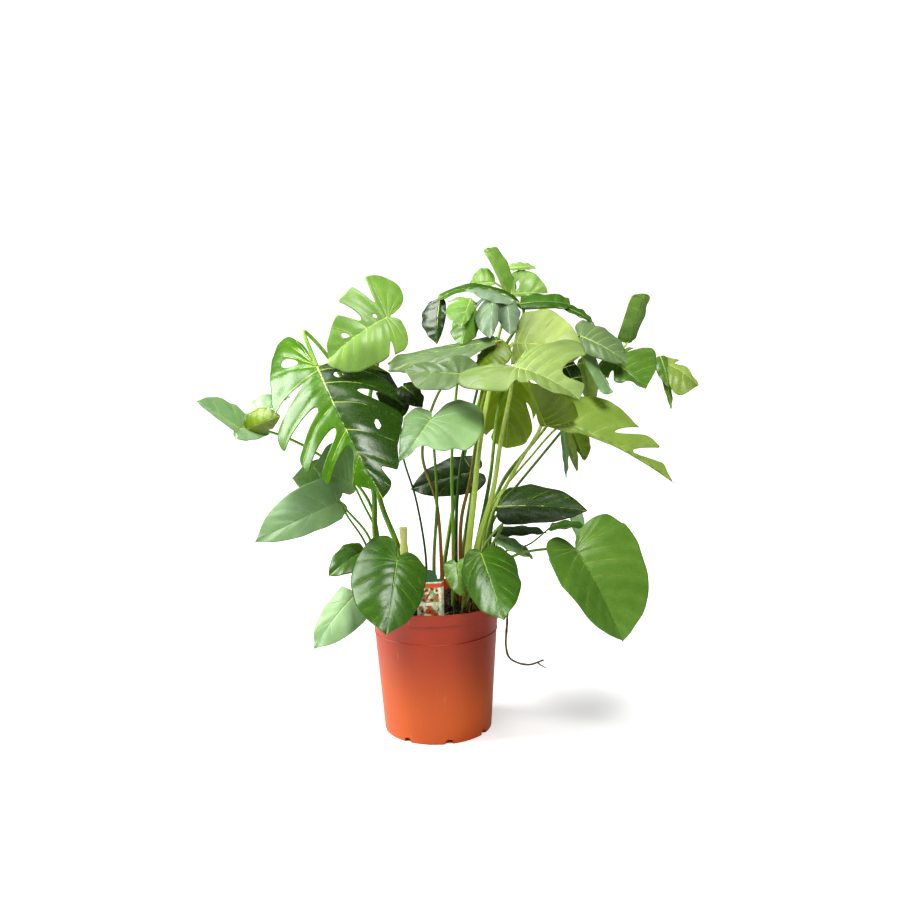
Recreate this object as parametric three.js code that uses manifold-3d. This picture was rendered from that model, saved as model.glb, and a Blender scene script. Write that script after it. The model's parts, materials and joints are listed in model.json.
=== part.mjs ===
// A swiss cheese plant (Monstera deliciosa) in a plastic nursery pot.
// Millimetres, +Z up. The origin is the centre of the pot's flat underside, and the front faces -Y.
import * as THREE from "three";
import { mergeVertices } from "three/addons/utils/BufferGeometryUtils.js";
import Module from "manifold-3d";

const wasm = await Module();
wasm.setup();

// Pot
const potHeight = 266;
const potBaseRadius = 107;
const potRimRadius = 135;
const potWall = 2.6;
const potFloor = 4;
const rimBandHeight = 22.5;
const rimBandStep = 4.5;
const ridgeHeight = 203;
const ridgeRadius = 121.4;
const potSegments = 32;
const drainHoleCount = 8;
const drainHoleWidth = 15;
const drainHoleHeight = 9;
const drainHoleStart = -79;

// Soil
const soilTop = 245;
const soilClearance = 0.3;
const soilRoughness = 3;
const holeDepth = 34;
const holeClearance = 0.35;
const holeSides = 6;

// Plant label
const labelWidth = 46;
const labelSide = 12;
const labelFoot = 228;
const labelShoulder = 330;
const labelHead = 34;
const labelHeadRise = 19;
const labelThickness = 1;
const labelFold = 62;
const labelTurn = 4;
const labelPlace = [12, -108, 0];

// Cut stub and aerial root
const stubRadius = 7;
const stubPath = [[-56, -60, 211.3], [-56, -60, 253], [-57, -61, 421]];
const rootRadius = 2;
const rootPath = [
  [106, -42, 211.3], [106, -42, 252], [112, -46, 270], [126, -54, 279], [139, -59, 268], [139, -60, 230],
  [136, -58, 180], [141, -60, 157], [154, -62, 147], [180, -66, 142], [208, -70, 152],
];
const rootForkPath = [[196, -68, 146.5], [204, -71, 141], [213, -74, 137]];

// Blades
const bladeThickness = 1.6;
const smallBlade = 80;
const mergeDistance = 0.1;
const ribPlaces = 20;
const stalkStep = 72;
const petioleSides = 5;

// Half of the outlines of a heart-shaped leaf, a blunt lobe, a pointed lobe and a broad cut leaf, from the
// petiole round to the tip: [fraction of the length, fraction of the half width]. Values behind the petiole
// scale with the basal lobes.
const heartOutline = [
  [0, 0], [-0.6, 0.08], [-1, 0.3], [-0.95, 0.62], [-0.3, 0.9], [0.16, 1.01],
  [0.34, 0.99], [0.52, 0.88], [0.69, 0.7], [0.83, 0.46], [0.93, 0.18], [1, 0],
];
const strapOutline = [
  [0, 0], [0.01, 0.4], [0.02, 0.8], [0.1, 0.94], [0.3, 1], [0.5, 1.02],
  [0.7, 1.02], [0.86, 0.98], [0.96, 0.8], [0.99, 0.4], [1, 0.2], [1, 0],
];
const lanceOutline = [
  [0, 0], [0.01, 0.34], [0.05, 0.62], [0.14, 0.85], [0.28, 0.98], [0.42, 1.01],
  [0.56, 0.94], [0.69, 0.78], [0.81, 0.56], [0.91, 0.32], [0.97, 0.13], [1, 0],
];
const cutOutline = [
  [0, 0], [-0.5, 0.08], [-0.95, 0.26], [-1, 0.54], [-0.6, 0.84], [0.08, 0.99],
  [0.28, 1.01], [0.48, 0.94], [0.67, 0.78], [0.83, 0.54], [0.94, 0.25], [1, 0],
];

const outlines = { heart: heartOutline, cut: cutOutline, strap: strapOutline, lance: lanceOutline };

// Where the vein to each place round the margin leaves the midrib, and how far it bows towards the tip,
// both for places spread evenly from the petiole to the tip.
const veinStarts = [0, 0, 0, 0, 0.01, 0.05, 0.17, 0.33, 0.54, 0.73, 0.9];
const veinBows = [0.2, 0.14, 0.06, 0, -0.04, -0.07, -0.09, -0.1, -0.1, -0.06, 0];

const clamp = THREE.MathUtils.clamp;
const radians = THREE.MathUtils.degToRad;

// A point on a smooth curve through evenly numbered points, at 0 to 1.
function alongPoints(points, t) {
  const last = points.length - 1;
  const place = clamp(t, 0, 1) * last;
  const i = Math.min(Math.floor(place), last - 1);
  const f = place - i;
  const p0 = points[Math.max(i - 1, 0)];
  const p1 = points[i];
  const p2 = points[i + 1];
  const p3 = points[Math.min(i + 2, last)];
  return p1.map((_, k) => {
    const a = 2 * p1[k];
    const b = p2[k] - p0[k];
    const c = 2 * p0[k] - 5 * p1[k] + 4 * p2[k] - p3[k];
    const d = 3 * p1[k] - p0[k] - 3 * p2[k] + p3[k];
    return 0.5 * (a + b * f + c * f * f + d * f * f * f);
  });
}

// A value between the numbers of a short list spread evenly over 0 to 1.
function blend(list, t) {
  const place = clamp(t, 0, 1) * (list.length - 1);
  const i = Math.min(Math.floor(place), list.length - 2);
  const f = place - i;
  const s = f * f * (3 - 2 * f);
  return list[i] * (1 - s) + list[i + 1] * s;
}

// The surface of one blade. The midrib is an arc from base to tip, each half is an arc that leaves it
// at the fold angle and turns down by the curl angle, and the margin waves.
function bladeSurface(leaf) {
  const base = new THREE.Vector3(...leaf.base);
  const tip = new THREE.Vector3(...leaf.tip);
  const chord = tip.clone().sub(base);
  const droop = radians(leaf.droop ?? 30);
  const half = Math.max(Math.abs(droop) / 2, 1e-4);
  const length = (chord.length() * half) / Math.sin(half);
  const forward = chord.clone().normalize();
  const up = new THREE.Vector3(...leaf.face);
  up.addScaledVector(forward, -up.dot(forward)).normalize();
  const leftward = new THREE.Vector3().crossVectors(up, forward);
  const shape = leaf.shape ?? (leaf.cut ? "cut" : "heart");
  const outline = outlines[shape];
  const parallel = shape === "strap" || shape === "lance";
  const twist = radians(leaf.twist ?? 0);

  // The direction and place of the midrib at a fraction of its length.
  function midrib(t) {
    const angle = droop * (0.5 - t);
    let along;
    let rise;
    if (Math.abs(droop) < 1e-3) {
      along = length * t;
      rise = 0;
    } else {
      along = (length / droop) * (Math.sin(droop / 2) - Math.sin(angle));
      rise = (length / droop) * (Math.cos(angle) - Math.cos(droop / 2));
    }
    return { along, rise, angle };
  }

  // side is +1 for the left half and -1 for the right one, a runs round the margin from the petiole to
  // the tip, and r runs out along a vein from the midrib to the margin.
  return function point(side, a, r) {
    const k = side > 0 ? 0 : 1;
    const width = k ? leaf.right : leaf.left;
    const lobe = (leaf.lobe ?? [0.2, 0.2])[k];
    const reach = leaf.reach ? blend(leaf.reach[k], a) : 1;
    const edge = alongPoints(outline, a);
    const eu = (edge[0] < 0 ? edge[0] * lobe : edge[0]) * length;
    const ev = edge[1] * width * reach;
    const mu = (parallel ? Math.max(0, edge[0] - 0.04) : blend(veinStarts, a)) * length;
    const reachU = mu + (eu - mu) * reach;
    const run = Math.hypot(reachU - mu, ev);
    const cu = (mu + reachU) / 2 + (parallel ? 0 : blend(veinBows, a) * run);
    const cv = ev / 2;
    const u = (1 - r) * (1 - r) * mu + 2 * r * (1 - r) * cu + r * r * reachU;
    const v = 2 * r * (1 - r) * cv + r * r * ev;
    const folds = [(leaf.fold ?? [15, 15])[k], (leaf.foldTip ?? leaf.fold ?? [15, 15])[k]];
    const fold = radians(THREE.MathUtils.lerp(...folds, THREE.MathUtils.smoothstep(a, 0.3, 0.8)));
    const curl = radians((leaf.curl ?? [25, 25])[k]) / width;
    let y;
    let z;
    if (Math.abs(curl) < 1e-6) {
      y = v * Math.cos(fold);
      z = v * Math.sin(fold);
    } else {
      y = (Math.sin(fold) - Math.sin(fold - curl * v)) / curl;
      z = (Math.cos(fold - curl * v) - Math.cos(fold)) / curl;
    }
    const away = Math.min(1, v / width);
    const waves = leaf.waves ?? 3;
    z += (leaf.wave ?? 0) * away * away * Math.sin(2 * Math.PI * waves * a + (leaf.phase ?? 0) + k * 1.9);
    const m = midrib(u / length);
    const turn = twist * (u / length);
    const yy = side * y * Math.cos(turn) - z * Math.sin(turn);
    const zz = side * y * Math.sin(turn) + z * Math.cos(turn);
    const along = m.along - zz * Math.sin(m.angle);
    const rise = m.rise + zz * Math.cos(m.angle);
    return base
      .clone()
      .addScaledVector(forward, along)
      .addScaledVector(leftward, yy)
      .addScaledVector(up, rise);
  };
}

// The rows of points that one half of a blade is made of. Each column follows a vein, and a cut is the
// space between two columns: [place round the margin, half its width, how far out it starts], and a hole
// is the same with 1 and then where it starts and ends.
function bladeColumns(leaf, k) {
  const cuts = (leaf.cuts ?? [[], []])[k];
  const shape = leaf.shape ?? (leaf.cut ? "cut" : "heart");
  const size = new THREE.Vector3(...leaf.base).distanceTo(new THREE.Vector3(...leaf.tip));
  const cutAtAll = (leaf.cuts ?? []).flat().length > 0;
  const small = size < smallBlade;
  const whole = shape === "strap" || shape === "lance" || small ? [0, 1] : [0, 0.52, 1];
  const levels = cutAtAll ? [0, 0.34, 0.68, 1] : whole;
  const spacing = {
    cut: small ? 0.17 : 0.13, heart: small ? 0.16 : 0.13, strap: 0.2, lance: small ? 0.25 : 0.2,
  }[shape];
  const columns = [];
  const plain = (a) => columns.push(levels.map((r) => [a, r]));
  const between = (from, to) => {
    const n = Math.max(1, Math.round((to - from) / spacing));
    for (let i = 1; i < n; i++) plain(from + ((to - from) * i) / n);
  };
  const gaps = [];
  let start = 0;
  plain(0);
  for (const [a, halfWidth, depth, holeFrom, holeTo] of cuts) {
    between(start, a - halfWidth);
    const open = depth < 1;
    const rs = open ? [0, depth, depth + (1 - depth) * 0.45, 1] : [0, holeFrom, holeTo, 1];
    const widths = open ? [0.3, 0.4, 0.8, 1] : [0.4, 0.6, 0.6, 0.5];
    for (const s of [-1, 1]) {
      const rim = s < 0 ? 1.03 : 0.91;
      columns.push(rs.map((r, j) => [a + s * halfWidth * widths[j], open ? r * (1 + (rim - 1) * r) : r]));
    }
    gaps.push({ column: columns.length - 2, cells: new Set(open ? [1, 2] : [1]) });
    start = a + halfWidth;
  }
  between(start, 1);
  plain(1);
  return { columns, gaps };
}

// The two halves of a blade meet at the same places: a triangle with a side on the midrib is divided at
// every place of the other half that lies along that side.
function sewToRib(corners, rib, points, leaf) {
  const free = corners.filter((i) => !rib.has(i));
  if (free.length === 0) return [];
  if (free.length > 1) return [corners];
  const axis = new THREE.Vector3(...leaf.tip).sub(new THREE.Vector3(...leaf.base));
  const places = [...rib].sort((p, q) => points[p].dot(axis) - points[q].dot(axis));
  const third = corners.indexOf(free[0]);
  const from = places.indexOf(corners[(third + 1) % 3]);
  const to = places.indexOf(corners[(third + 2) % 3]);
  const step = Math.sign(to - from);
  const parts = [];
  for (let i = from; i !== to; i += step) parts.push([places[i], places[i + step], free[0]]);
  return parts;
}

// One blade as a thin closed solid: the same triangles on both faces, joined round every edge.
function bladeSolid(leaf) {
  const surface = bladeSurface(leaf);
  const points = [];
  const rib = new Set();
  const halves = [];
  const vertex = (p) => {
    const near = points.findIndex((q) => q.distanceTo(p) < mergeDistance);
    return near < 0 ? points.push(p) - 1 : near;
  };
  const triangle = (a, b, c) => {
    if (a !== b && b !== c && c !== a) halves.push([a, b, c]);
  };
  for (const side of [1, -1]) {
    const { columns, gaps } = bladeColumns(leaf, side > 0 ? 0 : 1);
    const grid = columns.map((column) =>
      column.map(([a, r]) => {
        const i = vertex(surface(side, r > 0 ? a : Math.round(a * ribPlaces) / ribPlaces, r));
        if (r === 0 || a === 1) rib.add(i);
        return i;
      }),
    );
    for (let i = 0; i + 1 < grid.length; i++) {
      const gap = gaps.find((g) => g.column === i);
      for (let j = 0; j + 1 < grid[i].length; j++) {
        if (gap && gap.cells.has(j)) continue;
        const a = grid[i][j];
        const b = grid[i][j + 1];
        const c = grid[i + 1][j + 1];
        const d = grid[i + 1][j];
        const shortAC = points[a].distanceTo(points[c]) <= points[b].distanceTo(points[d]);
        const pair = shortAC ? [[a, b, c], [a, c, d]] : [[a, b, d], [b, c, d]];
        for (const [p, q, s] of pair) {
          if (side > 0) triangle(p, s, q);
          else triangle(p, q, s);
        }
      }
    }
  }
  const triangles = halves.flatMap((corners) => sewToRib(corners, rib, points, leaf));
  const normals = points.map(() => new THREE.Vector3());
  const edges = new Map();
  for (const [a, b, c] of triangles) {
    const ab = points[b].clone().sub(points[a]);
    const ac = points[c].clone().sub(points[a]);
    const n = ab.cross(ac);
    for (const i of [a, b, c]) normals[i].add(n);
    for (const [p, q] of [[a, b], [b, c], [c, a]]) {
      if (edges.has(q + "," + p)) edges.delete(q + "," + p);
      else edges.set(p + "," + q, [p, q]);
    }
  }
  const count = points.length;
  const position = [];
  for (const s of [0.5, -0.5]) {
    points.forEach((p, i) => {
      const n = normals[i].clone().normalize();
      position.push(...p.clone().addScaledVector(n, s * bladeThickness).toArray());
    });
  }
  const index = [];
  for (const [a, b, c] of triangles) {
    index.push(a, b, c);
    index.push(a + count, c + count, b + count);
  }
  for (const [p, q] of edges.values()) {
    index.push(p, p + count, q + count);
    index.push(p, q + count, q);
  }
  const geometry = new THREE.BufferGeometry();
  geometry.setAttribute("position", new THREE.Float32BufferAttribute(position, 3));
  geometry.setIndex(index);
  return solid(geometry);
}

// Any closed geometry as a solid for joining and cutting.
function solid(geometry) {
  const bare = geometry.clone();
  bare.deleteAttribute("normal");
  bare.deleteAttribute("uv");
  const merged = mergeVertices(bare, 1e-3);
  return new wasm.Manifold(
    new wasm.Mesh({
      numProp: 3,
      vertProperties: new Float32Array(merged.attributes.position.array),
      triVerts: new Uint32Array(merged.index.array),
    }),
  );
}

// The main body of a joined solid, without loose scraps and sealed hollows.
function largestPart(manifold) {
  return manifold.decompose().reduce((a, b) => (b.volume() > a.volume() ? b : a));
}

function geometryOf(manifold) {
  const mesh = manifold.getMesh();
  const position = new Float32Array(mesh.numVert * 3);
  for (let i = 0; i < mesh.numVert; i++) {
    for (let k = 0; k < 3; k++) position[3 * i + k] = mesh.vertProperties[i * mesh.numProp + k];
  }
  const geometry = new THREE.BufferGeometry();
  geometry.setAttribute("position", new THREE.BufferAttribute(position, 3));
  geometry.setIndex(new THREE.BufferAttribute(new Uint32Array(mesh.triVerts), 1));
  geometry.computeVertexNormals();
  return geometry;
}

// A path through given points, with the points themselves as its steps.
class PointPath extends THREE.Curve {
  constructor(points) {
    super();
    this.points = points;
  }
  getPoint(t, target = new THREE.Vector3()) {
    const last = this.points.length - 1;
    const i = Math.min(Math.floor(t * last), last - 1);
    return target.lerpVectors(this.points[i], this.points[i + 1], t * last - i);
  }
  getPointAt(t, target) {
    return this.getPoint(t, target);
  }
  getTangentAt(t, target) {
    return this.getTangent(t, target);
  }
}

// A round stalk along a curve, thick at its foot and thin at its top. Its foot is straight and upright.
function stalkGeometry(points, footRadius, topRadius, steps, sides = petioleSides) {
  const [foot, ...rest] = points.map((p) => new THREE.Vector3(...p));
  const curve = new THREE.CatmullRomCurve3(rest, false, "centripetal");
  const centres = rest.length > 1 ? [foot, ...curve.getSpacedPoints(steps)] : [foot, rest[0]];
  const path = new PointPath(centres);
  const section = new THREE.Shape();
  for (let i = 0; i < sides; i++) {
    const angle = (2 * Math.PI * i) / sides;
    const x = footRadius * Math.cos(angle);
    const y = footRadius * Math.sin(angle);
    if (i === 0) section.moveTo(x, y);
    else section.lineTo(x, y);
  }
  section.closePath();
  const options = { steps: centres.length - 1, extrudePath: path, curveSegments: 1 };
  const geometry = new THREE.ExtrudeGeometry(section, options);
  const position = geometry.attributes.position;
  const p = new THREE.Vector3();
  for (let i = 0; i < position.count; i++) {
    p.fromBufferAttribute(position, i);
    let near = 0;
    centres.forEach((c, j) => {
      if (c.distanceTo(p) < centres[near].distanceTo(p)) near = j;
    });
    const radius = THREE.MathUtils.lerp(footRadius, topRadius, near / (centres.length - 1));
    p.sub(centres[near]).multiplyScalar(radius / footRadius).add(centres[near]);
    position.setXYZ(i, p.x, p.y, p.z);
  }
  return geometry;
}

const greens = {
  bright: 0x6aa51c,
  mid: 0x3f7d2c,
  dark: 0x23491a,
  grey: 0x7d9f70,
  pale: 0xc3d68a,
  olive: 0x74892f,
  withered: 0xb8832e,
};

const leaves = [
  // Large cut leaves, left
  {
    name: "leaf_cut_left_front", color: "bright", cut: true,
    base: [-208, -70, 735], tip: [-87, -234, 514], face: [-0.26, -0.85, 0.46],
    left: 176, right: 164, lobe: [-0.1, 0.6], droop: 39, fold: [-15, 7], curl: [69, 42],
    reach: [[1, 0.9, 0.9, 0.9, 0.75, 1.1], [1.1, 0.9, 0.65, 0.8, 0.8, 0.65]],
    cuts: [
      [[0.55, 0.02, 1, 0.14, 0.24], [0.645, 0.03, 0.36], [0.76, 0.02, 1, 0.56, 0.66], [0.91, 0.02, 0.6]],
      [
        [0.34, 0.04, 1, 0.35, 0.74], [0.52, 0.04, 0.3], [0.665, 0.03, 0.25], [0.765, 0.022, 0.18],
        [0.855, 0.035, 0.12],
      ],
    ],
    stalk: [[-96, -5], [-115, 5, 388], [-116, 10, 486], [-165, 0, 700], [-232, -45, 798]], radius: [6, 3.2],
  },
  {
    name: "leaf_cut_left_upper", color: "bright", cut: true,
    base: [-72, -80, 822], tip: [-186, -104, 744], face: [-0.25, -0.86, 0.44],
    left: 59, right: 95, lobe: [0.12, 0.36], droop: 49, fold: [2, 19], curl: [54, 6],
    reach: [[1, 1.1, 1.25, 1.25, 1.3, 1.15], [1.1, 1, 1, 0.8, 0.65, 0.7]],
    cuts: [
      [[0.5, 0.03, 0.6]],
      [[0.47, 0.03, 0.4], [0.57, 0.02, 1, 0.1, 0.22], [0.67, 0.035, 0.3], [0.81, 0.03, 1, 0.16, 0.52]],
    ],
    stalk: [[-66, -15], [-67, -22, 360], [-102, -10, 466], [-120, 10, 640], [-80, -20, 790]], radius: [6, 3],
  },
  {
    name: "leaf_cut_left_far", color: "grey",
    base: [-361, -20, 610], tip: [-437, -70, 675], face: [-0.11, -0.78, 0.62],
    left: 11, right: 46, lobe: [-0.09, 0.02], droop: 23, fold: [1, -2], curl: [25, 31],
    straps: [
      {
        shape: "lance", base: [-359, -20, 610], tip: [-281, -71, 643], face: [0.07, -0.96, 0.27],
        left: 35, right: 24, droop: 21, fold: [-10, -25], curl: [25, 48],
      },
      {
        shape: "lance", base: [-355, -14, 623], tip: [-270, 2, 671], face: [-0.19, -0.63, 0.75],
        left: 40, right: 8, droop: 35, fold: [-6, 16], curl: [-6, 2],
      },
      {
        shape: "heart", base: [-365, -24, 615], tip: [-308, -26, 604], face: [0.03, -0.72, 0.7],
        left: 8, right: 25, droop: 22, fold: [-14, 5], curl: [43, 20], lobe: [0.01, 0.18],
      },
    ],
    stalk: [[-104, 22], [-130, 40, 459], [-235, 36, 560], [-330, 8, 608]], radius: [3.6, 2.4],
  },
  // Entire heart leaves, left
  {
    name: "leaf_heart_left", color: "grey",
    base: [-182, -60, 474], tip: [-328, -144, 419], face: [-0.13, -0.96, 0.26],
    left: 36, right: 57, lobe: [0.08, 0.12], droop: 22, fold: [2, 12], curl: [48, 32],
    stalk: [[-104, -48], [-129, -55, 385], [-160, -58, 440]], radius: [2.6, 2],
  },
  {
    name: "leaf_heart_left_back", color: "grey",
    base: [-201, 10, 485], tip: [-266, -56, 522], face: [-0.39, -0.85, 0.35],
    left: 24, right: 55, lobe: [0.06, 0.08], droop: 18, fold: [-4, 4], curl: [53, 40],
    stalk: [[-110, -18], [-125, -10, 388], [-170, 6, 445]], radius: [3, 2.2],
  },
  {
    name: "leaf_heart_left_inner", color: "grey",
    base: [-158, 15, 497], tip: [-224, -47, 539], face: [-0.09, -0.86, 0.5],
    left: 26, right: 81, lobe: [0.1, 0.16], droop: 0, fold: [4, -1], curl: [23, 9],
    stalk: [[-92, 26], [-112, 26, 390], [-136, 20, 450]], radius: [3, 2.2],
  },
  {
    name: "leaf_heart_left_low", color: "pale",
    base: [-151, -100, 303], tip: [-228, -143, 212], face: [-0.31, -0.82, 0.48],
    left: 48, right: 35, lobe: [0.02, 0.01], droop: 28, fold: [-1, 5], curl: [32, 26],
    stalk: [[-82, -76], [-92, -84, 300], [-125, -96, 330]], radius: [2.6, 2],
  },
  {
    name: "leaf_heart_left_small", color: "dark",
    base: [-135, -70, 377], tip: [-199, -100, 338], face: [-0.2, -0.75, 0.65],
    left: 32, right: 34, lobe: [0.06, 0.1], droop: 50, fold: [10, 10], curl: [25, 35],
    stalk: [[-92, -66], [-104, -70, 330], [-120, -70, 372]], radius: [2.4, 1.8],
  },
  {
    name: "leaf_heart_front_left", color: "mid",
    base: [-67, -150, 379], tip: [-88, -236, 264], face: [0.06, -0.88, 0.48],
    left: 64, right: 84, lobe: [0.15, 0.35], droop: 17, fold: [-4, 3], curl: [41, 42],
    stalk: [[-42, -84], [-46, -96, 330], [-56, -130, 378]], radius: [3.4, 2.2],
  },
  {
    name: "leaf_heart_front_right", color: "mid",
    base: [88, -140, 386], tip: [121, -270, 296], face: [-0.1, -0.88, 0.47],
    left: 65, right: 59, lobe: [0.11, 0.17], droop: 25, fold: [-10, -16], curl: [43, 43],
    stalk: [[50, -94], [84, -113, 345], [130, -112, 432], [112, -130, 420]], radius: [3.4, 2.2],
  },
  {
    name: "leaf_heart_small", color: "mid",
    base: [44, -86, 352], tip: [49, -118, 298], face: [-0.05, -0.85, 0.5],
    left: 26, right: 26, lobe: [0.15, 0.15], droop: 15, fold: [10, 10], curl: [20, 20],
    stalk: [[36, -78], [38, -76, 300], [42, -80, 345]], radius: [2, 1.6],
  },
  {
    name: "leaf_heart_right", color: "mid",
    base: [270, -90, 376], tip: [351, -129, 207], face: [0.17, -0.83, 0.53],
    left: 123, right: 79, lobe: [0.14, 0.14], droop: 25, fold: [10, 27], curl: [29, 12],
    reach: [[0.65, 1.35, 1, 1, 1.1, 1.2], [1, 1.25, 1, 0.95, 1, 1.05]],
    stalk: [[96, -54], [112, -64, 330], [160, -78, 366], [235, -88, 378]], radius: [3, 2.4],
  },
  {
    name: "leaf_heart_right_dark", color: "dark",
    base: [123, -70, 458], tip: [284, -162, 464], face: [-0.1, -0.85, 0.51],
    left: 54, right: 40, lobe: [-0.02, 0.02], droop: 38, fold: [-4, -17], curl: [38, 65],
    stalk: [[88, -66], [96, -70, 350], [110, -72, 425]], radius: [3.4, 2.2],
  },
  {
    name: "leaf_heart_centre", color: "grey",
    base: [2, -110, 634], tip: [-57, -173, 564], face: [0.35, -0.71, 0.61],
    left: 69, right: 46, lobe: [1, 0.14], droop: 32, fold: [26, 7], curl: [12, 48],
    reach: [[1.15, 0.95, 1.45, 1, 0.35, 0.65], [1, 1.1, 1, 0.85, 0.8, 1]],
    stalk: [[0, -34], [0, -30, 348], [9, -30, 467], [6, -36, 565]], radius: [3.6, 2.4],
  },
  {
    name: "leaf_heart_behind", color: "dark",
    base: [84, 54, 505], tip: [-44, 70, 470], face: [0, -0.8, 0.55],
    left: 42, right: 42, lobe: [0.15, 0.15], droop: 30, fold: [8, 8], curl: [25, 25],
    stalk: [[60, 42], [68, 48, 400], [84, 52, 470]], radius: [3, 2.2],
  },
  {
    name: "leaf_heart_edge_dark", color: "dark",
    base: [134, 36, 386], tip: [226, 20, 383], face: [0, -0.08, 1],
    left: 38, right: 34, lobe: [0.15, 0.15], droop: 30, fold: [3, 0], curl: [15, 12],
    stalk: [[104, 32], [120, 34, 350]], radius: [2.2, 1.6],
  },
  {
    name: "leaf_heart_edge_pale", color: "grey",
    base: [130, -26, 384], tip: [192, -50, 349], face: [0.25, -0.3, 0.9],
    left: 24, right: 24, lobe: [0.12, 0.12], droop: 25, fold: [5, 5], curl: [15, 15],
    stalk: [[110, -22], [118, -26, 350]], radius: [2, 1.5],
  },
  {
    name: "leaf_heart_edge_small", color: "olive",
    base: [149, 84, 404], tip: [180, 66, 398], face: [0, -0.45, 0.9],
    left: 16, right: 16, lobe: [0.12, 0.12], droop: 40, fold: [5, 5], curl: [20, 20],
    stalk: [[100, 50], [126, 74, 360]], radius: [1.8, 1.4],
  },
  {
    name: "leaf_heart_right_pale", color: "grey",
    base: [272, 70, 426], tip: [293, 50, 347], face: [0.6, -0.6, 0.3],
    left: 26, right: 26, lobe: [0.15, 0.15], droop: 15, fold: [40, 40], curl: [15, 15],
    stalk: [[90, 15], [101, 18, 360], [142, 58, 430], [222, 70, 452]], radius: [3.4, 1.8],
  },
  {
    name: "leaf_heart_right_edge", color: "dark",
    base: [236, 0, 402], tip: [302, -16, 400], face: [0, -0.15, 1],
    left: 24, right: 22, lobe: [0.12, 0.12], droop: 45, fold: [3, 0], curl: [15, 12],
    stalk: [[110, 20], [124, 12, 340], [190, 4, 366]], radius: [2, 1.5],
  },
  {
    name: "leaf_withered", color: "withered", shape: "lance",
    base: [74, -83, 277], tip: [113, -92, 243], face: [0.62, -0.1, 0.78],
    left: 9, right: 9, droop: 140, fold: [10, 10], curl: [10, 10],
    stalk: [[66, -74], [68, -78, 268]], radius: [1.8, 1.4],
  },
  // Centre, upper layer
  {
    name: "leaf_cut_centre_grey", color: "grey", cut: true,
    base: [131, -25, 770], tip: [-78, -54, 734], face: [0, -0.43, 0.9],
    left: 26, right: 44, lobe: [-0.08, 0.02], droop: 8, fold: [7, 8], curl: [38, 66],
    reach: [[0.95, 1, 0.3, 1.75, 1.65, 0.95], [1, 1, 0.65, 1.25, 1.1, 1]],
    cuts: [[], []],
    straps: [
      {
        shape: "lance", base: [143, -14, 771], tip: [94, -33, 722], face: [-0.14, -0.78, 0.62],
        left: 38, right: 40, droop: 15, fold: [-2, -16], curl: [15, 43],
      },
    ],
    stalk: [[52, 12], [56, 4, 419], [75, 0, 499], [100, 4, 640]], radius: [4, 2.6],
  },
  {
    name: "leaf_cut_centre_low", color: "mid", cut: true,
    base: [61, -100, 715], tip: [-43, -122, 723], face: [0.01, -0.7, 0.71],
    left: 53, right: 38, lobe: [-0.07, 0.31], droop: 10, fold: [5, 13], curl: [27, 13],
    reach: [[0.95, 0.75, 0.3, 0.75, 1.1, 0.95], [0.95, 1.05, 1.15, 0.55, 0.85, 1.1]],
    cuts: [[], [[0.62, 0.03, 0.5]]],
    stalk: [[16, -10], [8, -18, 459], [-17, -20, 557], [20, -40, 680]], radius: [3.6, 2.4],
  },
  {
    name: "leaf_heart_centre_curl", color: "dark",
    base: [-47, -60, 690], tip: [-14, -75, 652], face: [0.1, -0.75, 0.6],
    left: 24, right: 24, lobe: [0.15, 0.15], droop: 50, fold: [8, 8], curl: [50, 50],
    straps: [
      {
        shape: "lance", base: [-37, -26, 672], tip: [-102, -33, 678], face: [0, -0.86, 0.51],
        left: 50, right: 13, droop: 14, fold: [5, 3], curl: [16, 15],
      },
    ],
    stalk: [[-18, -12], [-16, -12, 348], [-32, 0, 462], [-56, -8, 560]], radius: [2.4, 1.8],
  },
  {
    name: "leaf_cut_centre_right", color: "bright", cut: true,
    base: [155, -142, 729], tip: [266, -189, 673], face: [0.1, -0.53, 0.84],
    left: 131, right: 49, lobe: [0.04, 0.75], droop: 33, fold: [9, 11], curl: [25, 38],
    reach: [[1, 0.85, 0.45, 1.25, 1.05, 1.05], [1.1, 0.65, 1.5, 0.65, 0.8, 0.95]],
    cuts: [[[0.81, 0.09, 0.36]], [[0.5, 0.04, 0.7], [0.64, 0.03, 0.75]]],
    stalk: [[78, -34], [84, -30, 365], [118, -32, 483], [134, -44, 581], [152, -84, 680]], radius: [6, 3.2],
  },
  {
    name: "leaf_cut_centre_pale", color: "pale", cut: true,
    base: [165, 0, 764], tip: [296, -36, 746], face: [-0.12, -0.89, 0.44],
    left: 94, right: 40, lobe: [0, -0.02], droop: 37, fold: [1, 12], curl: [29, 43],
    reach: [[1, 1, 0.75, 0.9, 0.85, 0.9], [1, 0.95, 1.15, 0.75, 1.15, 1.05]],
    cuts: [[], []],
    straps: [
      {
        shape: "lance", base: [257, -8, 728], tip: [291, -5, 665], face: [0.06, -0.91, 0.4],
        left: 21, right: 11, droop: 12, fold: [7, 5], curl: [9, 17],
      },
    ],
    stalk: [[60, -34], [66, -40, 358], [80, -40, 467], [96, -30, 583], [124, -16, 700]], radius: [7.5, 3.2],
  },
  {
    name: "leaf_cut_centre_back", color: "olive", cut: true,
    base: [167, 90, 701], tip: [159, 204, 530], face: [0.12, 0.83, 0.55],
    left: 80, right: 87, lobe: [0, 0.01], droop: 11, fold: [-20, -20], curl: [41, 62],
    cuts: [[[0.8, 0.02, 0.7]], [[0.62, 0.045, 0.5]]],
    stalk: [[62, 58], [114, 50, 480], [140, 80, 640]], radius: [4.5, 3],
  },
  // Top
  {
    name: "leaf_cut_top_arch", color: "olive", shape: "strap",
    base: [191, 92, 827], tip: [20, 80, 849], face: [-0.04, -0.24, 0.97],
    left: 18, right: 13, lobe: [0.1, 0.1], droop: 86, fold: [3, 13], curl: [17, -3],
    straps: [
      {
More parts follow.
